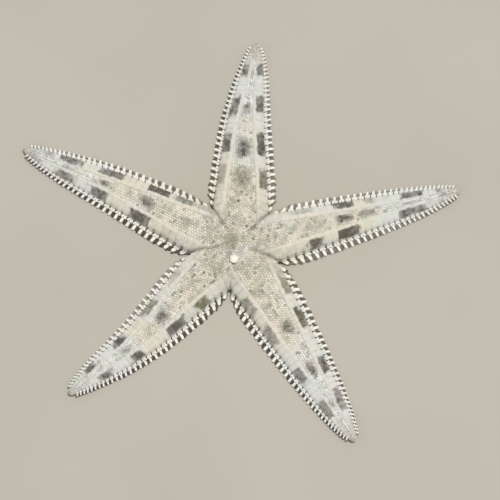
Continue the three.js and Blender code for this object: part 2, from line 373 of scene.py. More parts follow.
CREASE_DEPTH = 0.3
CREASE_WIDTH = 0.42
CREASE_START = (2.6, 5.2)  # from the disc's centre
CREASE_END = 1.05  # of the way along the arm to the pit
GAP_START = (-0.4, 0.2)  # in plates from the arm's root
SEAM_DEPTH = 0.15
SEAM_WIDTH = 0.11
CROWN = 0.12
CROWN_START = (5.5, 8)  # from the disc's centre
PLATE_TAPER = 0.4  # of the crowns and notches, from root to tip
NOTCH_REACH = 0.6  # how far in from the edge the gaps between the lower plates begin
NOTCH_REACH_TAPER = 0.45
NOTCH_DEPTH = 0.34
NOTCH_SHARE = (0.18, 0.3)  # of a plate's length, where a gap's wall starts and ends
UNDER_SEAM = (0.05, 0.13)  # of a plate's length
UNDER_SEAM_FROM = 0.5  # of the arm's half width
UNDER_SEAM_SHADE = 0.55
PIT_PAINTED_SHADE_FADE = 0.8  # how fast the painted shade in the pits between arms fades, in plates
NUDGE = 0.05  # step for slopes


def crease(arm, s, y):
    """The groove between two arms, from the middle of the disc out to their pit."""
    side = np.where(y >= 0, 1, -1)
    pit_s = np.where(y >= 0, arm.left_skin_pit, arm.right_skin_pit)
    pit_y = side * skin_width(arm, pit_s / arm.length)
    off = np.abs(s * pit_y - y * pit_s) / np.hypot(pit_s, pit_y)
    reach = np.hypot(s, y)
    fade = smoothstep(reach, *CREASE_START)
    return CREASE_DEPTH * fade * np.exp(-((off / CREASE_WIDTH) ** 2)) * (s < CREASE_END * pit_s)


def gap_between(arm, s, side):
    """1 in the gap between two lower marginal plates, 0 on the plates."""
    number = plate_number(arm, s, side)
    fraction = number - np.floor(number)
    open_gap = 1 - smoothstep(np.minimum(fraction, 1 - fraction), *NOTCH_SHARE)
    last = smoothstep(number, PLATES - 1, PLATES)
    return open_gap * smoothstep(number, *GAP_START) * (1 - last)


def painted_shade_between(arm, s, side):
    """Painted shade on the upright side: 1 in a gap or in the pit between two arms, 0 on the
    plates.
    """
    number = np.maximum(plate_number(arm, s, side), 0)
    return np.maximum(gap_between(arm, s, side), np.exp(-number / PIT_PAINTED_SHADE_FADE))


def notch(arm, s, y):
    """1 in the gaps that cut into the foot of the flank, 0 away from them."""
    t = s / arm.length
    width = half_width(arm, t)
    inwards = width * (1 - np.abs(y) / skin_width(arm, t))
    reach = NOTCH_REACH * (1 - NOTCH_REACH_TAPER * t)
    beside = 1 - smoothstep(inwards, 0.55 * reach, reach)
    return gap_between(arm, s, np.where(y >= 0, 1, -1)) * beside


def notch_depth(t):
    """How deep the gaps between the lower plates cut in."""
    return NOTCH_DEPTH * (1 - PLATE_TAPER * t)


def under_seam(arm, s, y):
    """1 in the seams between the lower plates, where they turn under, 0 beside them."""
    number = plate_number(arm, s, np.where(y >= 0, 1, -1))
    fraction = number - np.floor(number)
    seam = 1 - smoothstep(np.minimum(fraction, 1 - fraction), *UNDER_SEAM)
    out = np.abs(y) / skin_width(arm, s / arm.length)
    beyond = smoothstep(out, UNDER_SEAM_FROM, UNDER_SEAM_FROM + 0.06)
    return seam * beyond * (number < PLATES) * smoothstep(number, -0.4, 0.0)


def plate_relief(arm, s, y):
    """How far a marginal plate swells, less the seams and gaps between plates."""
    t = s / arm.length
    sizes = Sizes(arm, t)
    side = np.where(y >= 0, 1, -1)
    number = plate_number(arm, s, side)
    fraction = number - np.floor(number)
    to_seam = np.minimum(fraction, 1 - fraction) * plate_length(arm, number, side)
    seam = np.exp(-((to_seam / SEAM_WIDTH) ** 2))
    crown = 1 - (2 * fraction - 1) ** 4
    at = np.abs(y) * sizes.width / skin_width(arm, t)
    on_plate = smoothstep(at, sizes.field - 0.05, sizes.field + 0.3 * sizes.rim)
    fading = (1 - PLATE_TAPER * t) * smoothstep(np.hypot(s, y), *CROWN_START)
    relief = on_plate * fading * (CROWN * crown - SEAM_DEPTH * seam)
    return relief - notch_depth(t) * notch(arm, s, y)


def top_point(arm, s, y):
    """Points of the skin's upper side and their outward directions, along, left, up."""
    height = top_height(arm, s, y)
    across = (top_height(arm, s, y + NUDGE) - top_height(arm, s, y - NUDGE)) / (2 * NUDGE)
    ahead = (top_height(arm, s + NUDGE, y) - top_height(arm, s - NUDGE, y)) / (2 * NUDGE)
    out = vectors(-ahead, -across, np.ones_like(across))
    out /= np.linalg.norm(out, axis=-1, keepdims=True)
    relief = (plate_relief(arm, s, y) - crease(arm, s, y))[..., None]
    points = vectors(s, y, height) + out * relief
    return points, out


def under_height(arm, s, y):
    """Height of the skin's underside between the feet, with the groove and mouth."""
    t = s / arm.length
    sizes = Sizes(arm, t)
    inside = np.clip(np.abs(y) / (sizes.groove + 0.1), 0, 1)
    groove = sizes.depth * (1 - inside**2) ** 0.8
    mouth = (MOUTH_DEPTH - FOOT_COAT) * (1 - smoothstep(np.hypot(s, y), 0.7, MOUTH_RADIUS))
    return settled(t, FOOT_COAT + np.maximum(groove, mouth))


# ---- The star's place in the row frame ----

sieve_low, sieve_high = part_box("madreporite")
towards_sieve = math.radians(MADREPORITE_ANGLE)
centre_x = (sieve_low.x + sieve_high.x) / 2 - MADREPORITE_DISTANCE * MM * math.cos(towards_sieve)
centre_y = (sieve_low.y + sieve_high.y) / 2 - MADREPORITE_DISTANCE * MM * math.sin(towards_sieve)


def to_frame(points):
    return points * MM + np.array([centre_x, centre_y, 0.0])


# ---- Markings and painted shade, the same for the skin and its coat ----

OLIVE_SPOT = {"x": -1.3, "y": 0.6, "radius": 2.5, "strength": 0.5}
RIM_BRIGHTNESS = 0.35
EDGE_BRIGHTNESS = 0.5
WARM_ROOT = 0.45
COOL_OUTER = 0.85
DISC_SHADE = 0.17
FIELD_PATCHES = 0.34
PATCHES_LOST_OUTWARDS = 0.5
LINE_STRENGTH = 0.5
LINE_WIDTH = 0.65
LINE_LOSS_IN_FRONT = 0.85
TIP_SHADE = 0.28
GAP_PAINTED_SHADE = 1.8  # painted shade of the gaps between the lower plates and of the pits; over 1 the dark marks turn to the darkest colour, which paints the shadow in deep gaps
# painted shade in the notches between the lower plates, at the foot of the flank
NOTCH_PAINTED_SHADE = 0.35
SPECKLE = 0.3
WAVER = 0.35  # how far the marks' borders waver, in mm
STEP_SHARE = 0.4  # how much the marks on the flanks follow the plates
MARK_WAVER = 0.03  # of the marks' ends, as a share of the arm's length
MIDDLE_WAVER = 0.025
MARK_SOFTNESS = 0.012
MIDDLE_SOFTNESS = 0.016
MIDDLE_WIDTH = 0.62  # of the middle marks, as a share of the field

# Where some of them start or fade, as shares of the arm's length.
WARM_ROOT_FADE = (0.1, 0.4)
COOL_OUTER_START = (0.54, 0.76)
COOL_OUTER_FADE = (0.9, 0.97)
PATCHES_FADE = (0.3, 0.45)
TIP_SHADE_START = (0.84, 0.97)
RIM_START = (0.15, 0.38)
RIM_FADE = (0.66, 0.8)
RIM_LOSS = 1.1

# The same in mm from the disc's centre.
DISC_SHADE_FADE = (7.0, 15.0)
LINE_START = (3.0, 4.6)

LATTICE_SIZE = 64
LATTICE_SHIFT = 1000.0
LATTICE = rng.random((6, LATTICE_SIZE, LATTICE_SIZE))


def clouds(x, y, size, layer):
    """A smooth random field from 0 to 1 with features of about that size."""
    u, v = x / size + LATTICE_SHIFT, y / size + LATTICE_SHIFT
    i, j = np.floor(u).astype(int), np.floor(v).astype(int)
    across, up = smoothstep(u - i, 0, 1), smoothstep(v - j, 0, 1)
    i, i_next = i % LATTICE_SIZE, (i + 1) % LATTICE_SIZE
    j, j_next = j % LATTICE_SIZE, (j + 1) % LATTICE_SIZE
    table = LATTICE[layer]
    near = lerp(table[i, j], table[i_next, j], across)
    far = lerp(table[i, j_next], table[i_next, j_next], across)
    return lerp(near, far, up)


def warmth_along(arm, s):
    """How much warmer than the middle of its length the arm is; the outer arm is cooler."""
    t = s / arm.length
    outer = smoothstep(t, *COOL_OUTER_START) * (1 - smoothstep(t, *COOL_OUTER_FADE))
    return arm.warmth + WARM_ROOT * (1 - smoothstep(t, *WARM_ROOT_FADE)) - COOL_OUTER * outer


def marks_at(arm, side, t, softness):
    """Strength and tint of one row of marks at t."""
    strength = np.zeros_like(t)
    tint = np.zeros_like(t)
    for start, end, depth, hue in arm.marks[side]:
        inside = smoothstep(t, start - softness, start + softness)
        inside = inside * (1 - smoothstep(t, end - softness, end + softness))
        strength = np.maximum(strength, depth * inside)
        tint = tint + hue * inside
    return strength, tint


def marking(arm, s, y):
    """Strength and tint of the markings at a place on the upper side.

    Strength is 1 for the darkest marks and below 0 for the bright rims. It also carries the
    painted shade in the notches at the foot of the flank.
    """
    t = s / arm.length
    sizes = Sizes(arm, t)
    x_star, y_star, _ = np.moveaxis(place(arm, s, y, 0.0), -1, 0)
    side = np.where(y >= 0, 1, -1)
    number = plate_number(arm, s, side)
    plate_middle = along(arm, (np.floor(number) + 0.5) / PLATES, side) / arm.length
    wobble = clouds(x_star, y_star, 1.0, 0) - 0.5
    reach = np.abs(y) + WAVER * wobble
    rim_outside = sizes.width - sizes.flank
    on_flank = smoothstep(reach, rim_outside - 0.35, rim_outside + 0.15)
    from_edge = (sizes.width - reach) / np.maximum(sizes.flank, 0.3)
    low_edge = smoothstep(from_edge, 0.12, 0.3)
    on_rim = smoothstep(reach, sizes.field - 0.15, sizes.field + 0.2) * (1 - on_flank)
    off_middle = reach / np.maximum(MIDDLE_WIDTH * sizes.field, 0.45)
    on_middle = np.exp(-(off_middle**2)) * (1 - on_rim) * (1 - on_flank)
    stepped = lerp(t, plate_middle, STEP_SHARE) + MARK_WAVER * wobble
    left, left_tint = marks_at(arm, 1, stepped, MARK_SOFTNESS)
    right, right_tint = marks_at(arm, -1, stepped, MARK_SOFTNESS)
    middle, middle_tint = marks_at(arm, 0, t + MIDDLE_WAVER * wobble, MIDDLE_SOFTNESS)
    uneven = 0.72 + 0.5 * clouds(x_star, y_star, 0.8, 1)
    flank = np.where(y >= 0, left, right) * on_flank * low_edge * uneven
    flank_tint = np.where(y >= 0, left_tint, right_tint)
    middle = middle * on_middle * uneven
    tint = lerp(middle_tint, flank_tint, on_flank)
    strength = np.maximum(flank, middle)

    # Faint patches over the field, the olive spot, the lines between arms and the tips.
    blotch = 0.6 * clouds(x_star, y_star, 1.9, 2) + 0.4 * clouds(x_star, y_star, 0.8, 3)
    patches = FIELD_PATCHES * (1 - PATCHES_LOST_OUTWARDS * smoothstep(t, *PATCHES_FADE))
    on_field = (1 - on_rim) * (1 - on_flank)
    from_spot = np.hypot(x_star - OLIVE_SPOT["x"], y_star - OLIVE_SPOT["y"])
    olive = np.exp(-((from_spot / OLIVE_SPOT["radius"]) ** 4))
    radius = np.hypot(s, y)
    line = np.exp(-((border(arm, s, y) / LINE_WIDTH) ** 2)) * smoothstep(radius, *LINE_START)
    towards_front = -y_star / np.maximum(radius, 1)
    line = line * (1 - LINE_LOSS_IN_FRONT * smoothstep(towards_front, 0.9, 0.97))
    for faint, hue in (
        (patches * smoothstep(blotch, 0.42, 0.85) * on_field, -0.4),
        (OLIVE_SPOT["strength"] * olive, -1.0),
        (DISC_SHADE * (1 - smoothstep(radius, *DISC_SHADE_FADE)), -0.5),
        (LINE_STRENGTH * line, 0.25),
        (TIP_SHADE * smoothstep(t, *TIP_SHADE_START), 0.6),
    ):
        tint = np.where(faint > strength, hue, tint)
        strength = np.maximum(strength, faint)
    speckle = 0.6 * clouds(x_star, y_star, 0.7, 4) + 0.4 * clouds(x_star, y_star, 1.3, 5)
    even = (1 - 0.3 * on_rim - 0.25 * on_flank) * (1 - np.clip(strength, 0, 1))
    strength = strength - SPECKLE * 2 * (speckle - 0.5) * even
    along_rim = smoothstep(t, *RIM_START) * (1 - RIM_LOSS * smoothstep(t, *RIM_FADE))
    bright = RIM_BRIGHTNESS * on_rim * along_rim + EDGE_BRIGHTNESS * on_flank * (1 - low_edge)
    strength = strength - bright * (1 - np.clip(1.5 * strength, 0, 1))
    # Painted shade in the notches at the foot of the flank.
    return np.maximum(strength, NOTCH_PAINTED_SHADE * notch(arm, s, y)), tint


# ---- Meshes ----


def gathered(faces):
    """Corners and sizes of groups of faces."""
    corners = np.concatenate([group.ravel() for group in faces])
    return corners, np.concatenate([np.full(len(group), group.shape[1]) for group in faces])


def closed_rows(rows, around):
    """Indices of closed rows of points, and of the next point round for each."""
    index = np.arange(rows * around).reshape(rows, around)
    return index, np.roll(index, -1, axis=1)


def mesh_object(name, points, corners, sizes, look, rise, uv, material):
    """A piece in the row frame. look holds mark, tint and tone for each point."""
    mesh = bpy.data.meshes.new(name)
    mesh.vertices.add(len(points))
    mesh.vertices.foreach_set("co", to_frame(points).astype(np.float32).ravel())
    mesh.loops.add(len(corners))
    mesh.loops.foreach_set("vertex_index", corners.astype(np.int32))
    mesh.polygons.add(len(sizes))
    starts = np.concatenate([[0], np.cumsum(sizes)[:-1]])
    mesh.polygons.foreach_set("loop_start", starts.astype(np.int32))
    mesh.update(calc_edges=True)
    mesh.validate()
    looks = mesh.attributes.new("look", "FLOAT_VECTOR", "POINT")
    looks.data.foreach_set("vector", look.astype(np.float32).ravel())
    rises = mesh.attributes.new("rise", "FLOAT", "POINT")
    rises.data.foreach_set("value", rise.astype(np.float32))
    if uv is not None:
        layer = mesh.uv_layers.new(name="OFBake")
        layer.data.foreach_set("uv", uv.astype(np.float32).ravel())
    mesh.shade_smooth()
    mesh.materials.append(material)
    piece = bpy.data.objects.new(name, mesh)
    bpy.context.scene.collection.objects.link(piece)
    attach(piece, "root")
    return piece


class Shape:
    """A small part: points, faces, height as a share of its own, and a flat layout."""

    def __init__(self):
        self.points, self.faces = [], []

    def rings(self, rings, closed_end):
        """Adds rings of points joined by quads, closed by a fan at the last one."""
        first = len(self.points)
        around = len(rings[0])
        for ring in rings:
            self.points += [tuple(p) for p in ring]
        for r in range(len(rings) - 1):
            for i in range(around):
                a = first + r * around + i
                b = first + r * around + (i + 1) % around
                self.faces.append((a, b, b + around, a + around))
        last, tip = len(self.points) - around, len(self.points)
        self.points.append(tuple(closed_end))
        for i in range(around):
            self.faces.append((last + i, last + (i + 1) % around, tip))
        return self

    def dome(self, x, y, z, radius, height, sides=5, turn=0.0):
        """A rounded granule that stands on z."""
        rings = []
        for share, level in ((1.0, 0.0), (0.78, 0.66)):
            angles = turn + np.arange(sides) * math.tau / sides
            rings.append([
                (x + share * radius * math.cos(a), y + share * radius * math.sin(a),
                 z + level * height)
                for a in angles
            ])
        return self.rings(rings, closed_end=(x, y, z + height))

    def done(self, rise_axis=2):
        """Works out the layout and heights once every point is there."""
        self.points = np.array(self.points, float)
        flat = self.points[:, :2]
        low, high = flat.min(0), flat.max(0)
        self.flat = (flat - (low + high) / 2) / (high - low).max()
        level = self.points[:, rise_axis]
        self.rise = np.clip((level - level.min()) / (level.max() - level.min()), 0, 1)
        self.corners = np.concatenate([np.array(f) for f in self.faces])
        self.sizes = np.array([len(f) for f in self.faces])
        return self


def frames(ahead, out):
    """Unit axes across, ahead and out, with out kept and ahead squared to it."""
    out = out / np.linalg.norm(out, axis=-1, keepdims=True)
    across = np.cross(ahead, out)
    across /= np.maximum(np.linalg.norm(across, axis=-1, keepdims=True), 1e-9)
    return vectors(across, np.cross(out, across), out)


def arm_frames(arm, ahead, out):
    """The same, for directions along, left and up from the arm."""
    return frames(turned(arm, ahead), turned(arm, out))


class Coat:
    """Many small parts gathered into one mesh."""

    def __init__(self, name, material):
        self.name, self.material = name, material
        self.points, self.corners, self.sizes = [], [], []
        self.look, self.rise, self.uv = [], [], []
        self.count = 0

    def stamp(self, shape, at, axes, scale, look, roots):
        """Copies of shape at points, with their axes, sizes, looks and unwrap places."""
        number, corners_each = len(at), len(shape.points)
        if number == 0:
            return
        local = shape.points[None, :, :] * scale[:, None, :]
        points = at[:, None, :] + np.einsum("kij,ktj->kti", axes, local)
        shift = self.count + np.arange(number) * corners_each
        corners = (shift[:, None] + shape.corners[None, :]).ravel()
        uv = roots[:, None, :] + PATCH * shape.flat[shape.corners][None, :, :]
        self.points.append(points.reshape(-1, 3))
        self.corners.append(corners)
        self.sizes.append(np.tile(shape.sizes, number))
        self.look.append(np.repeat(look, corners_each, axis=0))
        self.rise.append(np.tile(shape.rise, number))
        self.uv.append(uv.reshape(-1, 2))
        self.count += number * corners_each

    def build(self):
        """Makes one piece of all the copies."""
        piece = mesh_object(
            self.name,
            *(np.concatenate(part) for part in (self.points, self.corners, self.sizes,
                                                self.look, self.rise, self.uv)),
            self.material,
        )


def unwrap(arm, s, across, shared):
    """A place on the arm's own strip of skin, cut open along the groove.

    across runs from 0 on the middle of the upper side to 1 or -1 in the groove. The five
    strips lie side by side where one piece serves all arms.
    """
    u = lerp(UNWRAP_MARGIN, 1 - UNWRAP_MARGIN, np.clip(s / arm.length, 0, 1))
    strip = 0.5 + (0.5 - UNWRAP_MARGIN) * across
    v = (ARMS.index(arm) + strip) / len(ARMS) if shared else strip
    return vectors(u, v)


# How far across the strip each part of the section ends.
ACROSS_FIELD = 0.45
ACROSS_WALL = 0.7
ACROSS_FOOT = 0.82


def across_top(arm, s, y):
    """The unwrap's second coordinate for a place on the upper side."""
    sizes = Sizes(arm, s / arm.length)
    reach = np.abs(y)
    inner = ACROSS_FIELD * np.clip(reach / sizes.field, 0, 1)
    outer = np.clip((reach - sizes.field) / (sizes.width - sizes.field), 0, 1)
    return np.sign(y) * (inner + (ACROSS_WALL - ACROSS_FIELD) * outer)


# ---- Materials ----


def srgb(red, green, blue):
    """A colour as seen on a screen, 0 to 255, as the shader's linear values."""
    def linear(value):
        value = value / 255
        return value / 12.92 if value <= 0.04045 else ((value + 0.055) / 1.055) ** 2.4
    return (linear(red), linear(green), linear(blue), 1.0)


class Nodes:
    """Short ways to write a material's node tree."""

    def __init__(self, name):
        self.material = bpy.data.materials.new(name)
        self.material.use_nodes = True
        self.tree = self.material.node_tree
        self.shader = self.tree.nodes["Principled BSDF"]
        self.shader.inputs["Specular IOR Level"].default_value = 0.35

    def new(self, kind, **inputs):
        node = self.tree.nodes.new(kind)
        for name, value in inputs.items():
            self.feed(node.inputs[name], value)
        return node

    def feed(self, socket, value):
        if isinstance(value, bpy.types.NodeSocket):
            self.tree.links.new(value, socket)
        else:
            socket.default_value = value

    def math(self, operation, a, b=0.0, clamp=False):
        node = self.tree.nodes.new("ShaderNodeMath")
        node.operation = operation
        node.use_clamp = clamp
        self.feed(node.inputs[0], a)
        self.feed(node.inputs[1], b)
        return node.outputs[0]

    def mix(self, share, a, b):
        node = self.tree.nodes.new("ShaderNodeMix")
        node.data_type = "RGBA"
        self.feed(node.inputs[0], share)
        self.feed(node.inputs[6], a)
        self.feed(node.inputs[7], b)
        return node.outputs[2]

    def ramp(self, value, low, high, at_low=0.0, at_high=1.0):
        node = self.tree.nodes.new("ShaderNodeMapRange")
        node.interpolation_type = "SMOOTHSTEP"
        for i, number in enumerate((value, low, high, at_low, at_high)):
            self.feed(node.inputs[i], number)
        return node.outputs[0]

    def noise(self, size, detail=2.0, roughness=0.5):
        """A pattern whose features are about size millimetres across."""
        coordinates = self.tree.nodes.new("ShaderNodeTexCoord")
        node = self.new("ShaderNodeTexNoise", Scale=1.0 / (size * MM), Detail=detail,
                        Roughness=roughness)
        self.feed(node.inputs["Vector"], coordinates.outputs["Object"])
        return node.outputs[0]

    def look(self):
        """mark, tint, tone and rise."""
        attribute = self.tree.nodes.new("ShaderNodeAttribute")
        attribute.attribute_name = "look"
        parts = self.new("ShaderNodeSeparateXYZ", Vector=attribute.outputs["Vector"])
        rise = self.tree.nodes.new("ShaderNodeAttribute")
        rise.attribute_name = "rise"
        return (*parts.outputs[:3], rise.outputs["Fac"])

    def bump(self, height, strength, distance):
        node = self.new("ShaderNodeBump", Strength=strength, Distance=distance * MM)
        self.feed(node.inputs["Height"], height)
        self.feed(self.shader.inputs["Normal"], node.outputs[0])

    def hard_surface(self, colour, grain):
        """A bare lime plate of that colour, with a fine grain."""
        self.feed(self.shader.inputs["Base Color"], colour)
        wear = self.math("MULTIPLY", self.noise(0.2), 0.2)
        self.feed(self.shader.inputs["Roughness"], self.math("ADD", 0.5, wear))
        self.bump(self.noise(grain), 0.4, 0.03)


PALE_WARM = srgb(250, 244, 228)
PALE_COOL = srgb(246, 246, 242)
PLATE_WARM = srgb(236, 231, 217)
PLATE_COOL = srgb(234, 235, 233)
BLUSH = srgb(236, 223, 220)
SAGE = srgb(222, 228, 206)
RIM_WHITE = srgb(252, 249, 242)
DARK_GREY = srgb(112, 108, 99)
DARK_MAUVE = srgb(126, 112, 108)
DARK_OLIVE = srgb(132, 132, 92)
# Painted shade at the foot of each small part.
CREVICE_PAINTED_SHADE = srgb(160, 153, 135)
# The darkest colour: the deepest parts of real dark marks, and painted shadow in the gaps and
# pits.
DEEP_MARK_AND_PAINTED_SHADOW = srgb(64, 58, 48)
MOTTLE = srgb(150, 142, 122)
FRECKLE = srgb(120, 112, 96)
SKIN_WARM = srgb(224, 216, 197)
SKIN_COOL = srgb(216, 214, 203)
SPINE_WARM = srgb(250, 245, 232)
SPINE_COOL = srgb(246, 245, 240)
UNDER_WARM = srgb(242, 234, 214)
UNDER_COOL = srgb(238, 233, 220)
TUBE_WARM = srgb(226, 208, 168)
TUBE_COOL = srgb(214, 200, 170)
# Painted shade in the sieve plate's grooves.
SIEVE_GROOVE_PAINTED_SHADE = srgb(240, 231, 210)
SIEVE_WHITE = srgb(255, 253, 246)
SIEVE_STAIN = srgb(240, 230, 206)
TERMINAL_PALE = srgb(226, 222, 212)
TERMINAL_GREY = srgb(196, 190, 180)
# Painted shade between the terminal plate's grains and in its notch.
TERMINAL_PAINTED_SHADE = srgb(142, 134, 120)
FLOOR_DARK = srgb(186, 180, 168)
FLOOR_PALE = srgb(191, 185, 173)
SKY = srgb(236, 238, 240)


def body_material(name, base_warm, base_cool, painted_crevice_shade, roughness, grain):
    """Pale lime-and-skin surface that carries the dark markings.

    The fourth argument is how dark the painted shade at the foot of each small part is, grain its
    bump's size.
    """
    n = Nodes(name)
    mark, tint, tone, rise = n.look()
    clouds = n.noise(9.0, 3.0)
    mottle = n.noise(0.9, 3.0, 0.6)
    fine = n.noise(0.16, 3.0, 0.6)
    warmth = n.math("ADD", n.ramp(clouds, 0.38, 0.62), n.math("SUBTRACT", tone, 0.5), True)
    pale = n.mix(warmth, base_cool, base_warm)
    pale = n.mix(n.ramp(n.noise(3.1, 2.0, 0.6), 0.52, 0.72, 0.0, 0.5), pale, BLUSH)
    pale = n.mix(n.ramp(n.noise(2.6, 2.0, 0.6), 0.5, 0.7, 0.0, 0.5), pale, SAGE)
    shade = n.math("MULTIPLY", n.ramp(mottle, 0.35, 0.75), 0.12)
    pale = n.mix(shade, pale, MOTTLE)
    pale = n.mix(n.math("MULTIPLY", mark, -1.0, True), pale, RIM_WHITE)
    dark = n.mix(n.math("MAXIMUM", tint, 0.0), DARK_GREY, DARK_MAUVE)
    dark = n.mix(n.math("MAXIMUM", n.math("MULTIPLY", tint, -1.0), 0.0), dark, DARK_OLIVE)
    flecks = n.math("MULTIPLY", n.math("SUBTRACT", mottle, 0.5), 0.9)
    uneven = n.math("MULTIPLY", n.math("SUBTRACT", tone, 0.5), 0.2)
    modulated = n.math("ADD", n.math("ADD", flecks, uneven), 1.0)
    strength = n.math("MULTIPLY", mark, modulated, True)
    colour = n.mix(strength, pale, dark)
    # Marks over 1 turn to the darkest colour: real in the deepest marks, painted shadow in the
    # gaps and pits.
    colour = n.mix(n.math("SUBTRACT", mark, 1.0, True), colour, DEEP_MARK_AND_PAINTED_SHADOW)
    # Painted shade at the foot of each small part, where it meets the skin.
    foot = n.ramp(rise, 0.0, 0.7, painted_crevice_shade, 0.0)
    colour = n.mix(foot, colour, CREVICE_PAINTED_SHADE)
    freckle = n.math("MULTIPLY", n.ramp(fine, 0.58, 0.72), 0.14)
    colour = n.mix(freckle, colour, FRECKLE)
    n.feed(n.shader.inputs["Base Color"], colour)
    wear = n.math("MULTIPLY", fine, 0.3)
    n.feed(n.shader.inputs["Roughness"], n.math("ADD", roughness - 0.15, wear))
    n.bump(n.math("ADD", n.noise(grain), n.math("MULTIPLY", fine, 0.5)), 0.5, grain * 0.35)
    return n.material


SKIN_LOOK = body_material("skin_look", SKIN_WARM, SKIN_COOL, 0.0, 0.72, 0.12)
COAT_LOOK = body_material("coat_look", PALE_WARM, PALE_COOL, 0.2, 0.66, 0.08)
PLATE_LOOK = body_material("plate_look", PLATE_WARM, PLATE_COOL, 0.16, 0.64, 0.07)
SPINE_LOOK = body_material("spine_look", SPINE_WARM, SPINE_COOL, 0.16, 0.5, 0.1)
UNDER_LOOK = body_material("underside_look", UNDER_WARM, UNDER_COOL, 0.36, 0.62, 0.08)
TUBE_LOOK = body_material("tube_foot_look", TUBE_WARM, TUBE_COOL, 0.2, 0.42, 0.15)


# ---- Skin ----

# The skin's half section as (segment, share) from the middle of the upper side to the
# middle of the groove: field, rim, flank, wall, slope, foot band, groove.
SEGMENT_SHARES = [
    (0, 0.14, 0.28, 0.42, 0.56, 0.7, 0.84, 0.94),
    (0, 0.2, 0.4, 0.6, 0.8),
    (0, 0.12, 0.26, 0.4, 0.54, 0.68, 0.8, 0.9),
    (0, 0.2, 0.4, 0.6, 0.8),
    (0, 0.25, 0.5, 0.75),
    (0, 0.25, 0.5, 0.75),
    (0, 0.2, 0.45, 0.7, 1.0),
]
SECTION = [(k, share) for k, shares in enumerate(SEGMENT_SHARES) for share in shares]
WALL_TOP = sum(len(shares) for shares in SEGMENT_SHARES[:3])
WALL_BOTTOM = WALL_TOP + len(SEGMENT_SHARES[3])
LAST = len(SECTION) - 1
WALL_BULGE = 0.09
WALL_PAINTED_SHADE = 0.5  # painted shade on the upright sides, between the spines
SLOPE_RISE = 0.3  # of the wall's foot over the foot band
PLATE_ROWS = (0, 0.13, 0.28, 0.5, 0.72, 0.87)  # of a plate's length
DISC_ROWS = np.concatenate([np.linspace(0.06, 0.58, 9), np.linspace(0.62, 1.0, 12)])
UNDER_ROWS = np.array([1.0, 0.92, 0.84, 0.76, 0.68, 0.6, 0.52, 0.44, 0.36, 0.3, 0.24, 0.19,
                       0.15, 0.11, 0.07])
PLAIN_LOOK = np.array([[0.1, 0.0, 0.5]])
END_RINGS = ((0.18, 0.86), (0.3, 0.6), (0.36, 0.3))  # how far ahead, how wide, at the tip
END_REACH = 0.38


def skin_root(arm, v):
    """Where the arm's skin meets the disc's, v half widths left of its middle."""
    return lerp(arm.right_skin_pit, arm.left_skin_pit, (v + 1) / 2)


def section_across(arm, t):
    """Each section point's distance from the midline; t has a column for each point."""
    sizes = Sizes(arm, t)
    width = skin_width(arm, t)
    shrink = width / sizes.width
    midline = np.zeros_like(t)
    corners = [midline, sizes.field * shrink, (sizes.width - sizes.flank) * shrink, width,
               width, FOOT_SHARE * width, sizes.groove + 0.1, midline]
    columns = [lerp(corners[k][..., p], corners[k + 1][..., p], share)
               for p, (k, share) in enumerate(SECTION)]
    return np.stack(columns, axis=-1)


def section_places(arm, s_of, side):
    """s and y of one side's section points, where s_of(v) gives the row's places."""
    zero = np.zeros(len(SECTION))
    middle = s_of(zero) / arm.length
    v = section_across(arm, middle) / skin_width(arm, middle)
    s = s_of(side * v)
    return s, side * section_across(arm, s / arm.length)


def slope_rise(y, width):
    """How far the skin climbs from the foot band to the wall's foot."""
    return SLOPE_RISE * np.clip((np.abs(y) / width - FOOT_SHARE) / (1 - FOOT_SHARE), 0, 1)


def section_points(arm, s, y):
    """The skin's points at one side's section places."""
    width = skin_width(arm, s / arm.length)
    side = np.sign(y[..., WALL_TOP:WALL_TOP + 1])
    points = vectors(s, y, 0.0)
    points[..., :WALL_TOP + 1, :], _ = top_point(arm, s[..., :WALL_TOP + 1], y[..., :WALL_TOP + 1])
    low = under_height(arm, s, y) + slope_rise(y, width)
    points[..., WALL_BOTTOM:, 2] = low[..., WALL_BOTTOM:]
    gap = gap_between(arm, s, np.where(side >= 0, 1, -1)) * notch_depth(s / arm.length)
    for p in range(WALL_TOP + 1, WALL_BOTTOM):
        share = SECTION[p][1]
        points[..., p, 2] = lerp(points[..., WALL_TOP, 2], low[..., WALL_BOTTOM], share)
        swell = math.sin(math.pi * share) * WALL_BULGE - gap[..., p] * (1 - share) ** 0.5
        points[..., p, 1] += side[..., 0] * swell
    return points


class Grid:
    """Points and faces, gathered for one mesh."""

    def __init__(self):
        self.points, self.look, self.faces, self.count = [], [], [], 0

    def add(self, points, look):
        """Adds points with their looks and gives back their indices."""
        shape = points.shape[:-1]
        self.points.append(points.reshape(-1, 3))
        self.look.append(look.reshape(-1, 3))
        number = int(np.prod(shape))
        self.count += number
        return np.arange(self.count - number, self.count).reshape(shape)

    def join(self, first, second, around=False):
        """Faces between two rows of indices."""
        if around:
            first, second = np.append(first, first[0]), np.append(second, second[0])
        self.faces.append(vectors(first[:-1], first[1:], second[1:], second[:-1]))

    def fan(self, row, tip):
        """Three-cornered faces between a closed row and one point."""
        ahead = np.roll(row, -1)
        self.faces.append(vectors(row, ahead, tip))


def skin_look(arm, s, y, upper):
    """mark, tint and tone for the skin, fading on the underside."""
    mark, tint = marking(arm, s, y)
    fade = 1.0 if upper else 0.0
    tone = 0.5 + warmth_along(arm, s) * fade
    return vectors(mark * fade, tint, tone)


def skin_roots():
    """s, y and points of the section where each arm's sides meet the disc."""
    roots = {}
    for arm in ARMS:
        for side in (1, -1):
            s, y = section_places(arm, lambda v, arm=arm: skin_root(arm, v), side)
            roots[arm, side] = s, y, section_points(arm, s, y)
    return roots


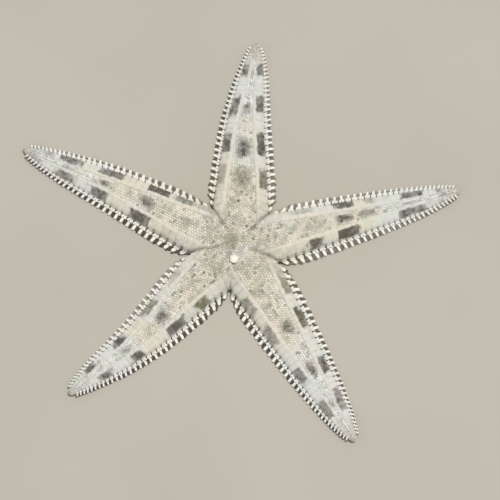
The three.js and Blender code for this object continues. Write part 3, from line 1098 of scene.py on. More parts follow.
def disc_column(roots, arm, side, p, rows, upper):
    """Points and looks between the disc's middle and section point p of an arm's root."""
    root_s, root_y = (places[p] for places in roots[arm, side][:2])
    s, y = rows * root_s, rows * root_y
    if upper:
        points, _ = top_point(arm, s, y)
    else:
        extra = slope_rise(root_y, skin_width(arm, root_s / arm.length))
        z = under_height(arm, s, y) + extra * smoothstep(rows, 0.7, 1.0)
        points = vectors(s, y, z)
    return place(arm, *points.T), skin_look(arm, s, y, upper)


def disc_columns(grid, roots, arm, before, rows, first, last):
    """Columns over an arm's part of the disc, from its right border short of its left one."""
    upper = last < first
    step = -1 if upper else 1
    right = list(range(first, last + step, step))
    columns = []
    for side, p in [(-1, p) for p in right] + [(1, p) for p in reversed(right[1:-1])]:
        points, look = disc_column(roots, arm, side, p, rows, upper)
        if side == -1 and p == first:
            other, other_look = disc_column(roots, before, 1, p, rows, upper)
            points, look = (points + other) / 2, (look + other_look) / 2
        columns.append(grid.add(points, look))
    return columns


def arm_rows(arm):
    """Points and looks of the rows round an arm, from its root to its end."""
    u = [(k + f) / PLATES for k in range(PLATES) for f in PLATE_ROWS] + [1.0]
    u = np.array(u)[:, None]
    halves = []
    for side in (1, -1):
        s, y = section_places(arm, lambda v: along(arm, u, v), side)
        points = section_points(arm, s, y)
        look = skin_look(arm, s, y, True)
        # The upright sides carry painted shade, darkest in the gaps between plates and in the
        # pits.
        dark = painted_shade_between(arm, s[:, WALL_TOP + 1:], side)
        look[:, WALL_TOP + 1:, 0] = lerp(WALL_PAINTED_SHADE, GAP_PAINTED_SHADE, dark)
        look[:, WALL_BOTTOM:, 0] = UNDER_SEAM_SHADE * under_seam(arm, s, y)[:, WALL_BOTTOM:]
        halves.append((place(arm, *np.moveaxis(points, -1, 0)), look))
    return [np.concatenate([left, right[:, -2:0:-1]], axis=1) for left, right in zip(*halves)]


def skin_arm(grid, arm, ring):
    """The arm's skin, from the ring at its root to its closed end."""
    points, look = arm_rows(arm)
    end, middle = points[-1], points[-1].mean(0)
    ahead = np.array([math.cos(arm.angle), math.sin(arm.angle), 0])
    rows = list(zip(points, look))
    for forward, share in END_RINGS:
        rows.append((middle + (end - middle) * share + forward * ahead, look[-1]))
    for row, row_look in rows:
        indices = grid.add(row, row_look)
        grid.join(ring, indices, around=True)
        ring = indices
    grid.fan(ring, grid.add((middle + END_REACH * ahead)[None], PLAIN_LOOK)[0])


def make_skin():
    grid = Grid()
    roots = skin_roots()
    tops, unders, walls = {}, {}, {}
    for i, arm in enumerate(ARMS):
        before = ARMS[i - 1]
        tops[arm] = disc_columns(grid, roots, arm, before, DISC_ROWS, WALL_TOP, 0)
        unders[arm] = disc_columns(grid, roots, arm, before, UNDER_ROWS, WALL_BOTTOM, LAST)
        mine = place(arm, *roots[arm, -1][2][WALL_TOP + 1:WALL_BOTTOM].T)
        other = place(before, *roots[before, 1][2][WALL_TOP + 1:WALL_BOTTOM].T)
        # Painted shade on the upright walls in the pits between arms.
        look = np.tile([GAP_PAINTED_SHADE, 0.0, 0.5], (len(mine), 1))
        walls[arm] = grid.add((mine + other) / 2, look)

    top_middle, _ = top_point(ARMS[0], np.array([0.0]), np.array([0.0]))
    top_middle = grid.add(place(ARMS[0], *top_middle.T), PLAIN_LOOK)[0]
    roof = grid.add(np.array([[0.0, 0.0, MOUTH_DEPTH]]), PLAIN_LOOK)[0]
    inner_top, inner_under = [], []
    for i, arm in enumerate(ARMS):
        after = ARMS[(i + 1) % len(ARMS)]
        top_columns = [*tops[arm], tops[after][0]]
        under_columns = [*unders[arm], unders[after][0]]
        for columns in (top_columns, under_columns):
            for a, b in zip(columns, columns[1:]):
                grid.join(a, b)
        inner_top += [c[0] for c in tops[arm]]
        inner_under += [c[-1] for c in unders[arm]]

        # The ring at the arm's root, from the middle of its upper side round by the left.
        half = len(top_columns) // 2
        under_half = len(under_columns) // 2
        left = [c[-1] for c in top_columns[half:]] + list(walls[after])
        left += [c[0] for c in reversed(under_columns[under_half:])]
        right = [c[-1] for c in top_columns[half - 1::-1]] + list(walls[arm])
        right += [c[0] for c in under_columns[:under_half]]
        skin_arm(grid, arm, np.array(left + right[::-1]))
    grid.fan(np.array(inner_top), top_middle)
    grid.fan(np.array(inner_under), roof)

    points = np.concatenate(grid.points)
    look = np.concatenate(grid.look)
    rise = np.ones(len(points))
    piece = mesh_object("skin", points, *gathered(grid.faces), look, rise, None, SKIN_LOOK)
    built = bmesh.new()
    built.from_mesh(piece.data)
    bmesh.ops.recalc_face_normals(built, faces=built.faces)
    built.to_mesh(piece.data)
    built.free()
    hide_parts("disc", *(f"arm_{arm.name}" for arm in ARMS))


make_skin()


# ---- Coat of the upper side ----

PAXILLA_PITCH = 0.75
PITCH_TAPER = 0.27
PAXILLA_RADIUS = 0.49  # share of the pitch
TIP_CROWDING = 1.16
ROW_SPACING = 0.88  # share of the pitch
CENTRE_RADIUS = 3.8  # inside it the paxillae stand without rows
CENTRE_PITCH = 0.99  # share of the pitch
LOOSE_RADIUS = 7.0  # inside it they give way to each other
BORDER_REACH = (4.0, 7.3)  # where paxillae stand on the line between two arms
CLEAR_OF_SIEVE = 0.36
FILLER_SIZE = 0.6  # of the small paxillae that fill gaps, as a share of the others'
MIDDLE_FIELD = 5.4  # half the width of the square in which gaps are looked for
MIDDLE_TRIES = 2500
STILL_RADIUS = 9.5  # paxillae outside it are too far away to give way to
SPREAD_STEPS = 30
SPREAD_STRENGTH = 0.3
LOOSE_SPACING = 0.86  # share of the pitch
# The least distances of fillers, of spread ones and of small ones, as shares of the spacing.
FILLER_APART = 0.86
LOOSE_APART = 0.7
SMALL_APART = 0.74


def paxilla_shape(around, inside):
    """A short pillar whose crown carries a ring of granules round a few in the middle."""
    shape = Shape()
    sides = 6
    profile = ((0.55, -0.15), (0.6, 0.44), (0.86, 0.64))
    rings = [[(r * math.cos(k * math.tau / sides), r * math.sin(k * math.tau / sides), z)
              for k in range(sides)] for r, z in profile]
    shape.rings(rings, closed_end=(0, 0, 0.72))
    out = 0.74
    size = math.pi * out / around
    for k in range(around):
        angle = k * math.tau / around
        shape.dome(out * math.cos(angle), out * math.sin(angle), 0.58, size, 0.34, turn=angle)
    for k in range(inside):
        angle = 0.4 + k * math.tau / inside
        reach = 0.0 if inside == 1 else 0.29
        shape.dome(reach * math.cos(angle), reach * math.sin(angle), 0.66, 0.27, 0.32, turn=angle)
    return shape.done()


SIEVE = MADREPORITE_DISTANCE * np.array([math.cos(towards_sieve), math.sin(towards_sieve)])


def spread(points, still, spacing):
    """Points moved apart from each other, from the still ones and from the sieve plate."""
    for _ in range(SPREAD_STEPS):
        others = np.vstack([points, still])
        apart = points[:, None] - others[None]
        distance = np.maximum(np.linalg.norm(apart, axis=-1), 1e-6)
        push = np.clip(spacing - distance, 0, None) / distance
        push[np.eye(len(points), len(others), dtype=bool)] = 0
        points = points + SPREAD_STRENGTH * (push[..., None] * apart).sum(1)
        off = points - SIEVE
        off_by = np.linalg.norm(off, axis=1, keepdims=True)
        least = MADREPORITE_RADIUS + CLEAR_OF_SIEVE
        points = np.where(off_by < least, SIEVE + off / off_by * least, points)
    return points


def stations(first, last, pitch, taper, length):
    """Places along an arm, whose spacing is pitch at the root and less by taper at the tip."""
    s = [first]
    while s[-1] < last:
        s.append(s[-1] + pitch - taper * s[-1] / length)
    return np.array(s)


def row_places(arm):
    """Places of the paxillae in rows parallel to the arm's axis, every other one offset."""
    last = ARM_END * arm.length - 0.35
    in_line = stations(1.2, last, PAXILLA_PITCH, PITCH_TAPER, arm.length)
    between = (in_line[1:] + in_line[:-1]) / 2
    places = []
    for j in range(-9, 10):
        s = in_line if j % 2 == 0 else between
        t = s / arm.length
        pitch = PAXILLA_PITCH - PITCH_TAPER * t
        y = j * ROW_SPACING * pitch
        kept = (np.abs(y) < Sizes(arm, t).field - 0.3 * pitch) | (j == 0)
        kept &= np.hypot(s, y) > CENTRE_RADIUS
        kept &= border(arm, s, y) > 0.46 * pitch
        s, y = s[kept], y[kept]
        s = s + rng.uniform(-0.06, 0.06, len(s))
        y = y + rng.uniform(-0.05, 0.05, len(s))
        places += list(zip(s, y))
    return places


def place_flat(arm, s, y):
    return place(arm, s, y, 0.0)[:2]


def fillers(stands, candidates, apart):
    """Candidates (x, y) that stand clear of all that stands already, and of each other."""
    chosen = []
    for spot in candidates:
        if np.hypot(*(stands - spot).T).min() > apart:
            stands = np.vstack([stands, spot])
            chosen.append(spot)
    return np.array(chosen).reshape(-1, 2)


def open_spots():
    """Random spots on the middle of the disc, between the rims."""
    kept = []
    for x, y in rng.uniform(-MIDDLE_FIELD, MIDDLE_FIELD, (MIDDLE_TRIES, 2)):
        arm, s, left = arm_at(x, y)
        inside = abs(left) < float(Sizes(arm, s / arm.length).field) - 0.25
        if inside and math.hypot(x - SIEVE[0], y - SIEVE[1]) > MADREPORITE_RADIUS + 0.28:
            kept.append((x, y))
    return np.array(kept)


def centre_points():
    """Where paxillae start on the borders of the arms' parts of the disc and in its middle."""
    points = []
    for arm in ARMS:
        width = float(skin_width(arm, arm.left_skin_pit / arm.length))
        corner = math.hypot(arm.left_skin_pit, width)
        for reach in np.arange(*BORDER_REACH, PAXILLA_PITCH):
            share = reach / corner
            points.append(place_flat(arm, share * arm.left_skin_pit, share * width))
    step = PAXILLA_PITCH * CENTRE_PITCH
    reach = int(CENTRE_RADIUS / step) + 2
    for a in range(-reach, reach + 1):
        for b in range(-reach, reach + 1):
            x, y = (a + b / 2) * step, b * step * ROW_SPACING
            if math.hypot(x, y) < CENTRE_RADIUS - 0.3:
                points.append(np.array([x, y]) + rng.uniform(-0.1, 0.1, 2))
    return points


def all_paxilla_places():
    """(arm, s, y, size) of every paxilla, those near the disc's centre spread evenly."""
    fixed, loose = [], []
    for arm in ARMS:
        for s, y in row_places(arm):
            (loose if math.hypot(s, y) < LOOSE_RADIUS else fixed).append((arm, s, y))
    points = [place_flat(*spot) for spot in loose] + centre_points()
    still = np.array([place_flat(*spot) for spot in fixed
                      if math.hypot(*spot[1:]) < STILL_RADIUS])
    spacing = LOOSE_SPACING * PAXILLA_PITCH
    points = spread(np.array(points), still, spacing)
    for _ in range(2):
        extra = fillers(np.vstack([points, still]), open_spots(), FILLER_APART * spacing)
        points = spread(np.vstack([points, extra]), still, spacing)
    kept = fillers(np.array([[99.0, 99.0]]), points, LOOSE_APART * spacing)
    small = fillers(np.vstack([kept, still]), open_spots(), SMALL_APART * spacing)
    places = [(*spot, 1.0) for spot in fixed]
    places += [(*arm_at(x, y), 1.0) for x, y in kept]
    places += [(*arm_at(x, y), FILLER_SIZE) for x, y in small]
    return fill_rims(places)


def fill_rims(places):
    """Adds small paxillae along the rims, where the rows end."""
    for arm in ARMS:
        mine = np.array([(s, y) for owner, s, y, _ in places if owner is arm])
        for side in (1, -1):
            s = np.arange(4.0, ARM_END * arm.length - 0.5, 0.2)
            t = s / arm.length
            pitch = PAXILLA_PITCH - PITCH_TAPER * t
            y = side * (Sizes(arm, t).field - 0.24 * pitch)
            clear = border(arm, s, y) > 0.3
            for spot, apart in zip(vectors(s, y)[clear], pitch[clear]):
                near = fillers(mine, spot[None], 0.7 * apart)
                if len(near):
                    mine = np.vstack([mine, near])
                    places.append((arm, *spot, FILLER_SIZE))
    return places


def coat_axes(arm, s, y, spin):
    """Roots on the skin and axes that stand on it, turned by spin about their normals."""
    points, out = top_point(arm, s, y)
    ahead = vectors(np.cos(spin), np.sin(spin), 0.0)
    return place(arm, *points.T), arm_frames(arm, ahead, out)


PAXILLA = paxilla_shape(8, 3)
SMALL_PAXILLA = paxilla_shape(7, 1)


def make_paxillae():
    everywhere = all_paxilla_places()
    for arm in ARMS:
        mine = np.array([(s, y, size) for owner, s, y, size in everywhere if owner is arm])
        s, y, size = mine.T
        t = s / arm.length
        number = len(s)
        at, axes = coat_axes(arm, s, y, rng.uniform(0, math.tau, number))
        mark, tint = marking(arm, s, y)
        dotted = rng.random(number) < lerp(0.16, 0.07, smoothstep(s, 9, 30))
        mark = np.where(dotted, np.maximum(mark, rng.uniform(0.3, 0.6, number)), mark)
        mark = np.clip(mark * rng.uniform(0.75, 1.2, number), -1, 1)
        tone = rng.random(number) + warmth_along(arm, s)
        look = vectors(mark, tint, tone)
        pitch = PAXILLA_PITCH - PITCH_TAPER * t
        crowding = lerp(1.0, TIP_CROWDING, smoothstep(t, 0.5, 0.85))
        radius = size * PAXILLA_RADIUS * crowding * pitch * rng.uniform(0.92, 1.07, number)
        tall = PAXILLA_COAT * (1 - COAT_TAPER * t) * rng.uniform(0.9, 1.04, number) * size**0.3
        scale = vectors(radius, radius, tall)
        roots = unwrap(arm, s, across_top(arm, s, y), False)
        coat = Coat(f"paxillae_{arm.name}", COAT_LOOK)
        small = (t > 0.6) | (size < 1)
        for shape, these in ((PAXILLA, ~small), (SMALL_PAXILLA, small)):
            coat.stamp(shape, at[these], axes[these], scale[these], look[these], roots[these])
        coat.build()


make_paxillae()

GRANULE = Shape().dome(0, 0, -0.25, 1.0, 1.25).done()
GRANULE_PITCH = 0.34
GRANULE_TAPER = 0.1
GRANULE_HEIGHT = 0.17
GRANULE_RADIUS = 0.53  # share of the pitch
WALL_ROWS = 3
WALL_PITCH = 0.36
WALL_GRANULE_RADIUS = 0.18
WALL_GRANULE_HEIGHT = 0.16
RIM_INSET = 0.14  # of the innermost granules from the paxillae's field, at the disc
FIRST_PLATE = -4  # plates run on inwards beside the disc, counted back from the root


def granule_places(arm, side):
    """Places in a pavement over each upper marginal plate."""
    places = []
    for k in range(FIRST_PLATE, PLATES):
        s0, s1 = along(arm, k / PLATES, side), along(arm, (k + 1) / PLATES, side)
        middle = (s0 + s1) / 2
        t = middle / arm.length
        pitch = GRANULE_PITCH - GRANULE_TAPER * t
        width = skin_width(arm, t)
        inner = Sizes(arm, t).field * width / half_width(arm, t) + RIM_INSET * (1 - t)
        across = np.linspace(inner, width - 0.02, 40)
        height = top_height(arm, np.full(40, middle), side * across)
        arc = np.concatenate([[0], np.cumsum(np.hypot(np.diff(across), np.diff(height)))])
        rows = max(2, round(float(arc[-1]) / (0.87 * pitch)))
        number = max(1, round((s1 - s0 - 0.1) / pitch))
        for i in range(rows):
            inwards = width - np.interp((i + 0.5) / rows * arc[-1], arc, across)
            shift = 0.25 if i % 2 else -0.25
            for j in range(number):
                share = np.clip((j + 0.5 + shift) / number, 0.04, 0.96)
                places.append((s0 + 0.05 + (s1 - s0 - 0.1) * share, pitch, inwards))
    s, pitch, inwards = np.array(places).T
    s = s + rng.uniform(-0.03, 0.03, len(s))
    y = side * (skin_width(arm, s / arm.length) - inwards + rng.uniform(-0.03, 0.03, len(s)))
    kept = (border(arm, s, y) > 0.13) & (np.hypot(s, y) > 5.6)
    return s[kept], y[kept], pitch[kept]


def stamp_pavement(coat, arm, side):
    """The granules over the upper marginal plates."""
    s, y, pitch = granule_places(arm, side)
    number = len(s)
    at, axes = coat_axes(arm, s, y, rng.uniform(0, math.tau, number))
    mark, tint = marking(arm, s, y)
    shade = rng.uniform(0.8, 1.12, number)
    plate = np.floor(plate_number(arm, s, side)).astype(int) - FIRST_PLATE
    uneven = rng.uniform(0.8, 1.1, PLATES - FIRST_PLATE + 2)[plate]
    mark = np.clip(mark * shade * uneven, -1, GAP_PAINTED_SHADE)
    tone = rng.random(number) + warmth_along(arm, s)
    look = vectors(mark, tint, tone)
    radius = GRANULE_RADIUS * pitch * rng.uniform(0.85, 1.05, number)
    scale = vectors(radius, radius, GRANULE_HEIGHT)
    roots = unwrap(arm, s, across_top(arm, s, y), False)
    coat.stamp(GRANULE, at, axes, scale, look, roots)


def wall_places(arm, side):
    """Places in rows on the lower marginal plates' upright sides, clear of the spines."""
    places = []
    for k in range(PLATES):
        s0, s1 = along(arm, k / PLATES, side), along(arm, (k + 1) / PLATES, side)
        number = max(2, round((s1 - s0) / WALL_PITCH))
        for i in range(WALL_ROWS):
            for j in range(number):
                share = (j + 0.5 + (0.2 if i % 2 else -0.2)) / number
                off_spine = abs(share - 0.5) * (s1 - s0)
                if i > 0 and off_spine < 0.3 * SPINE_WIDTH_SHARE * (s1 - s0) + 0.1:
                    continue
                places.append((lerp(s0, s1, share), (i + 0.5) / WALL_ROWS))
    return np.array(places).T


def stamp_wall(coat, arm, side):
    """The granules on the lower marginal plates' upright sides."""
    s, down = wall_places(arm, side)
    t = s / arm.length
    number = len(s)
    width = skin_width(arm, t)
    upper = top_height(arm, s, side * width)
    lower = under_height(arm, s, side * width) + SLOPE_RISE
    gap = gap_between(arm, s, side)
    swell = WALL_BULGE * np.sin(np.pi * down) - notch_depth(t) * gap * (1 - down) ** 0.5
    at = place(arm, s, side * (width + swell), lerp(upper, lower, down))
    out = vectors(0.0, side, 0.4 - 0.8 * down)
    ahead = np.tile([1.0, 0.0, 0.0], (number, 1))
    axes = arm_frames(arm, ahead, out)
    mark, tint = marking(arm, s, side * width * 0.95)
    # Painted shade on the wall granules: darker lower down, darkest in the gaps and pits.
    shade = np.maximum(0.15 * mark, WALL_PAINTED_SHADE * smoothstep(down, 0.2, 0.5))
    dark = painted_shade_between(arm, s, side) * smoothstep(down, 0.1, 0.6)
    shade = np.maximum(shade, GAP_PAINTED_SHADE * dark)
    tone = rng.random(number) + warmth_along(arm, s)
    look = vectors(shade, tint, tone)
    radius = WALL_GRANULE_RADIUS * (1 - 0.35 * t) * rng.uniform(0.85, 1.1, number)
    scale = vectors(radius, radius, WALL_GRANULE_HEIGHT)
    across = side * lerp(ACROSS_WALL, ACROSS_FOOT, down)
    coat.stamp(GRANULE, at, axes, scale, look, unwrap(arm, s, across, False))


def make_plate_granules():
    for arm in ARMS:
        coat = Coat(f"plate_granules_{arm.name}", PLATE_LOOK)
        for side in (1, -1):
            stamp_pavement(coat, arm, side)
            stamp_wall(coat, arm, side)
        coat.build()


make_plate_granules()


# ---- The comb of spines ----


def blade_shape(sides, stations):
    """A flat blunt spine of length, width and thickness 1 along its ahead axis.

    stations are (place along it, width, thickness).
    """
    shape = Shape()
    rings = []
    for at, wide, thick in stations:
        ring = []
        for k in range(sides):
            angle = -k * math.tau / sides
            c, s = math.cos(angle), math.sin(angle)
            ring.append((0.5 * wide * math.copysign(abs(c) ** 0.7, c), at,
                         0.5 * thick * math.copysign(abs(s) ** 0.7, s)))
        rings.append(ring)
    shape.rings(rings, closed_end=(0, 1.0, 0))
    return shape.done(rise_axis=1)


BLADE = blade_shape(12, (
    (-0.25, 0.66, 0.8), (0.0, 0.72, 0.92), (0.16, 0.86, 1.0), (0.38, 0.97, 0.95),
    (0.6, 0.98, 0.85), (0.8, 0.92, 0.74), (0.91, 0.8, 0.62), (0.97, 0.56, 0.42),
))
SMALL_BLADE = blade_shape(7, (
    (-0.2, 0.75, 0.9), (0.3, 0.95, 1.0), (0.72, 0.95, 0.8), (0.93, 0.66, 0.5),
))


def spindle_shape(sides, profile, tip):
    """A round spine or foot of radius 1 along its ahead axis, which it ends at tip.

    profile holds (place along it, radius).
    """
    shape = Shape()
    rings = [[(r * math.cos(-k * math.tau / sides), at, r * math.sin(-k * math.tau / sides))
              for k in range(sides)] for at, r in profile]
    shape.rings(rings, closed_end=(0, tip, 0))
    return shape.done(rise_axis=1)


NEEDLE = spindle_shape(5, ((-0.1, 0.9), (0.25, 1.0), (0.7, 0.85), (0.92, 0.55)), 1.0)
FOOT = spindle_shape(8, (
    (-0.08, 0.8), (0.2, 0.9), (0.6, 0.72), (0.82, 0.95), (0.95, 0.8), (0.97, 0.4),
), 0.93)


def heading_frames(arm, turn, dip):
    """Axes of spines that point turn from the arm's axis and dip below level."""
    ahead = vectors(np.cos(turn) * np.cos(dip), np.sin(turn) * np.cos(dip), -np.sin(dip))
    out = vectors(np.cos(turn) * np.sin(dip), np.sin(turn) * np.sin(dip), np.cos(dip))
    return arm_frames(arm, ahead, out)


def spine_numbers(arm, side):
    """s, y, height, heading, length and width of a side's marginal spines."""
    k = np.arange(PLATES)
    s = along(arm, (k + 0.5) / PLATES, side)
    plate = along(arm, (k + 1) / PLATES, side) - along(arm, k / PLATES, side)
    near_pit = np.exp(-k / PIT_TURN_FADE)
    near_tip = (k / PLATES) ** 3
    shortened = 1 - PIT_SHORTENING * near_pit - TIP_SHORTENING * near_tip
    length = (SPINE_LENGTH + SPINE_LENGTH_PER_PLATE * plate) * shortened
    width = np.maximum(SPINE_LEAST_WIDTH, SPINE_WIDTH_SHARE * plate)
    t = s / arm.length
    lean = SPINE_LEAN * (k / PLATES) ** 2 + PIT_TURN * near_pit
    turn = side * np.radians(SPINE_ANGLE - lean)
    y = side * half_width(arm, t)
    z = SPINE_HEIGHT + TIP_LIFT * smoothstep(t, LIFT_FROM, 1)
    return s, y, z, turn, length, width


SPINE_INSET = 0.12
SPINELET_THICKNESS = 0.26
GAP_FILL_AT_PIT = 0.7  # how much longer the dark spinelets, painted shadow, are in the pits
# A plate's spinelets: how far along it from its middle in plates, how far above its
# spine, their length as a share of the spine's, and 1 for the dark ones in the gaps,
# which are painted shadow between the spines.
SPINELETS = (
    (-0.26, 0.34, 0.44, 0), (-0.13, 0.5, 0.4, 0), (0.08, 0.52, 0.38, 0),
    (0.26, 0.38, 0.42, 0), (-0.28, 0.02, 0.42, 0), (0.28, 0.0, 0.42, 0),
    (-0.41, -0.4, 1.0, 1), (0.41, -0.4, 1.0, 1),
)
SPINE_PER_PLATE = SPINE_LENGTH_PER_PLATE + 0.25  # a spine's length in plates, roughly
SPINELET_TILT = 26
SPINELET_SPLAY = 10


def make_fringe():
    coat = Coat("fringe_spines", SPINE_LOOK)
    small = Coat("small_marginal_spines", SPINE_LOOK)
    for arm in ARMS:
        for side in (1, -1):
            s, y, z, turn, length, width = spine_numbers(arm, side)
            number = len(s)
            turn = turn + np.radians(rng.uniform(-3.5, 3.5, number))
            dip = np.radians(SPINE_DIP + rng.uniform(-2.5, 3.0, number))
            at = place(arm, s, y - side * SPINE_INSET, z)
            far = (length + SPINE_INSET) * rng.uniform(0.93, 1.0, number)
            scale = vectors(width, far, SPINE_THICKNESS)
            mark, tint = marking(arm, s, y * 0.95)
            tone = rng.random(number) + warmth_along(arm, s)
            look = vectors(0.12 * mark, tint, tone)
            across = side * (ACROSS_WALL + 0.06)
            coat.stamp(BLADE, at, heading_frames(arm, turn, dip), scale, look,
                       unwrap(arm, s, across, True))
            longer = GAP_FILL_AT_PIT * np.exp(-np.arange(number) / PIT_TURN_FADE)
            plate = length / SPINE_PER_PLATE
            for aside, up, share, dark in SPINELETS:
                where = s + aside * plate
                t = where / arm.length
                at = place(arm, where, side * (skin_width(arm, t) - 0.02), z + up)
                tilt = dip - np.radians(SPINELET_TILT * np.sign(up)) * (1 - dark)
                splay = turn - side * np.radians(SPINELET_SPLAY) * np.sign(aside) * (1 - dark)
                wide = lerp(0.55, 0.68, dark)
                far = share * (length * (1 + longer * dark)) * rng.uniform(0.85, 1.1, number)
                scale = vectors(wide * width, far, SPINELET_THICKNESS)
                tone = rng.random(number) + warmth_along(arm, s)
                # The dark spinelets are painted shadow in the gaps between the spines.
                shade = lerp(0.1 * mark, arm.spinelet_painted_shade[side], dark)
                look = vectors(shade, tint, tone)
                small.stamp(SMALL_BLADE, at, heading_frames(arm, splay, tilt), scale, look,
                            unwrap(arm, where, across, True))
    coat.build()
    small.build()


make_fringe()


# ---- Underside ----


def scale_shape():
    """A small flat scale of length, width and height 1, a little narrower behind."""
    shape = Shape()
    sides = 8
    rings = []
    for share, level in ((1.0, 0.0), (0.84, 0.8)):
        ring = []
        for k in range(sides):
            angle = k * math.tau / sides
            wide = 0.5 * share * math.cos(angle) * (1.0 + 0.18 * math.sin(angle))
            ring.append((wide, 0.5 * share * math.sin(angle), level))
        rings.append(ring)
    return shape.rings(rings, closed_end=(0, 0.05, 1.0)).done()


SCALE = scale_shape()
SCALE_ROWS = 0.48
SCALE_PITCH = 0.47
SCALE_SIZE = (0.46, 0.56, 0.2)
SCALE_START = 2.4  # from the disc's centre
SCALE_MARGIN = 0.62  # of the first row from the groove
SCALE_REACH = 8  # further out than any edge
TAPER_BELOW = 0.3  # of the scales, from root to tip


def make_underside_scales():
    for arm in ARMS:
        coat = Coat(f"underside_scales_{arm.name}", UNDER_LOOK)
        for side in (1, -1):
            places = []
            row = 0
            while row * SCALE_ROWS < SCALE_REACH:
                first = SCALE_START + (0.5 * SCALE_PITCH if row % 2 else 0)
                s = np.arange(first, ARM_END * arm.length, SCALE_PITCH)
                t = s / arm.length
                from_groove = (SCALE_MARGIN + row * SCALE_ROWS) * (1 - TAPER_BELOW * t)
                y = Sizes(arm, t).groove + from_groove
                kept = (y < skin_width(arm, t) - 0.06) & (border(arm, s, side * y) > 0.12)
                kept &= under_seam(arm, s, side * y) < 0.5
                places += list(zip(s[kept], y[kept]))
                row += 1
            s, y = np.array(places).T
            number = len(s)
            s = s + rng.uniform(-0.04, 0.04, number)
            y = side * (y + rng.uniform(-0.03, 0.03, number))
            t = s / arm.length
            width = skin_width(arm, t)
            beside = smoothstep(s, 0.7 * arm.left_skin_pit, arm.left_skin_pit)
            z = under_height(arm, s, y) + slope_rise(y, width) * beside
            at = place(arm, s, y, z)
            tilt = np.radians(rng.uniform(6, 16, number))
            swing = rng.uniform(-0.25, 0.25, number) + 0.35
            ahead = vectors(np.sin(swing), side * np.cos(swing), -np.sin(tilt))
            out = vectors(0.0, side * np.sin(tilt), -np.cos(tilt))
            axes = arm_frames(arm, ahead, out)
            grow = (1 - TAPER_BELOW * t) * rng.uniform(0.9, 1.1, number)
            wide, far, high = SCALE_SIZE
            scale = vectors(wide * grow, far * grow, high)
            look = vectors(0.05, 0.0, rng.random(number))
            across = side * lerp(1.0, ACROSS_FOOT - 0.08, np.clip(np.abs(y) / width, 0, 1))
            coat.stamp(SCALE, at, axes, scale, look, unwrap(arm, s, across, False))
        coat.build()


make_underside_scales()


# One fan of guard spines: how far round, how far back from the groove's edge, length,
# thickness and dip.
GUARD_FAN = (
    (-0.5, 0.1, 0.86, 0.1, 0.14), (0.0, 0.05, 0.95, 0.11, 0.12), (0.5, 0.1, 0.86, 0.1, 0.14),
    (-0.22, 0.42, 0.6, 0.15, 0.2), (0.26, 0.42, 0.6, 0.15, 0.2),
)
GUARD_ROOT = 0.33  # above the floor
GUARD_TAPER = 0.4  # of their size, from root to tip
FOOT_RADIUS = 0.27
FOOT_OUT = 0.4  # of the groove's half width
FOOT_LEAN = 0.16
FOOT_CLEARANCE = (0.16, 0.45)  # of their ends over the floor
# Where each kind starts from the disc's centre, ends as a share of the arm's length, its
# pitch at the root and how much less that is at the tip.
GUARD_ROW = (2.3, 0.965, 1.05, 0.55)
FOOT_ROW = (2.6, 0.95, 0.82, 0.35)
FOOT_STAGGER = 0.35
# A jaw's spines: how far from the mouth's middle, how far aside, length and turn.
JAW_SPINES = (
    (1.25, 0.12, 0.85, -0.15), (1.55, 0.3, 0.85, -0.45), (1.9, 0.45, 0.8, -0.75),
    (2.3, 0.6, 0.75, -1.0),
)
JAW_DIP = 0.18
JAW_WIDTH = 0.15
JAW_THICKNESS = 0.13


def stamp_guards(guards, arm, side):
    """Spines that fan out over one edge of the groove."""
    first, end, pitch, taper = GUARD_ROW
    s = stations(first, end * arm.length, pitch, taper, arm.length)
    t = s / arm.length
    groove = Sizes(arm, t).groove
    grow = 1 - GUARD_TAPER * t
    lift = TIP_LIFT * smoothstep(t, LIFT_FROM, 1)
    for fan, back, far, thick, dip in GUARD_FAN:
        root_s = s + 0.55 * fan * grow
        at = place(arm, root_s, side * (groove + back), GUARD_ROOT + lift)
        turn = -side * (math.pi / 2) + side * fan * 0.9 + rng.uniform(-0.08, 0.08, len(s))
        axes = heading_frames(arm, turn, dip)
        long = far * grow * rng.uniform(0.88, 1.05, len(s))
        scale = vectors(thick * grow, long, thick * grow)
        look = vectors(0.0, 0.0, rng.random(len(s)))
        guards.stamp(NEEDLE, at, axes, scale, look,
                     unwrap(arm, root_s, side * (0.9 - 0.04 * back), True))


def stamp_feet(feet, arm, side):
    """One row of tube feet, hanging from the groove's roof."""
    first, end, pitch, taper = FOOT_ROW
    first += FOOT_STAGGER if side > 0 else 0.0
    s = stations(first, end * arm.length, pitch, taper, arm.length)
    t = s / arm.length
    groove = Sizes(arm, t).groove
    y = side * FOOT_OUT * groove
    roof = under_height(arm, s, y)
    lift = TIP_LIFT * smoothstep(t, LIFT_FROM, 1)
    at = place(arm, s, y, roof)
    lean = rng.uniform(-FOOT_LEAN, FOOT_LEAN, (len(s), 2))
    ahead = vectors(lean[:, 0], lean[:, 1], -1.0)
    out = vectors(1.0, 0.0, lean[:, 0])
    axes = arm_frames(arm, ahead, out)
    thick = FOOT_RADIUS * groove / GROOVE_HALF_WIDTH
    reach = roof - lift - rng.uniform(*FOOT_CLEARANCE, len(s))
    scale = vectors(thick, np.maximum(reach, 0.3), thick)
    look = vectors(0.0, 0.0, rng.random(len(s)))
    feet.stamp(FOOT, at, axes, scale, look, unwrap(arm, s, side * 0.97, True))


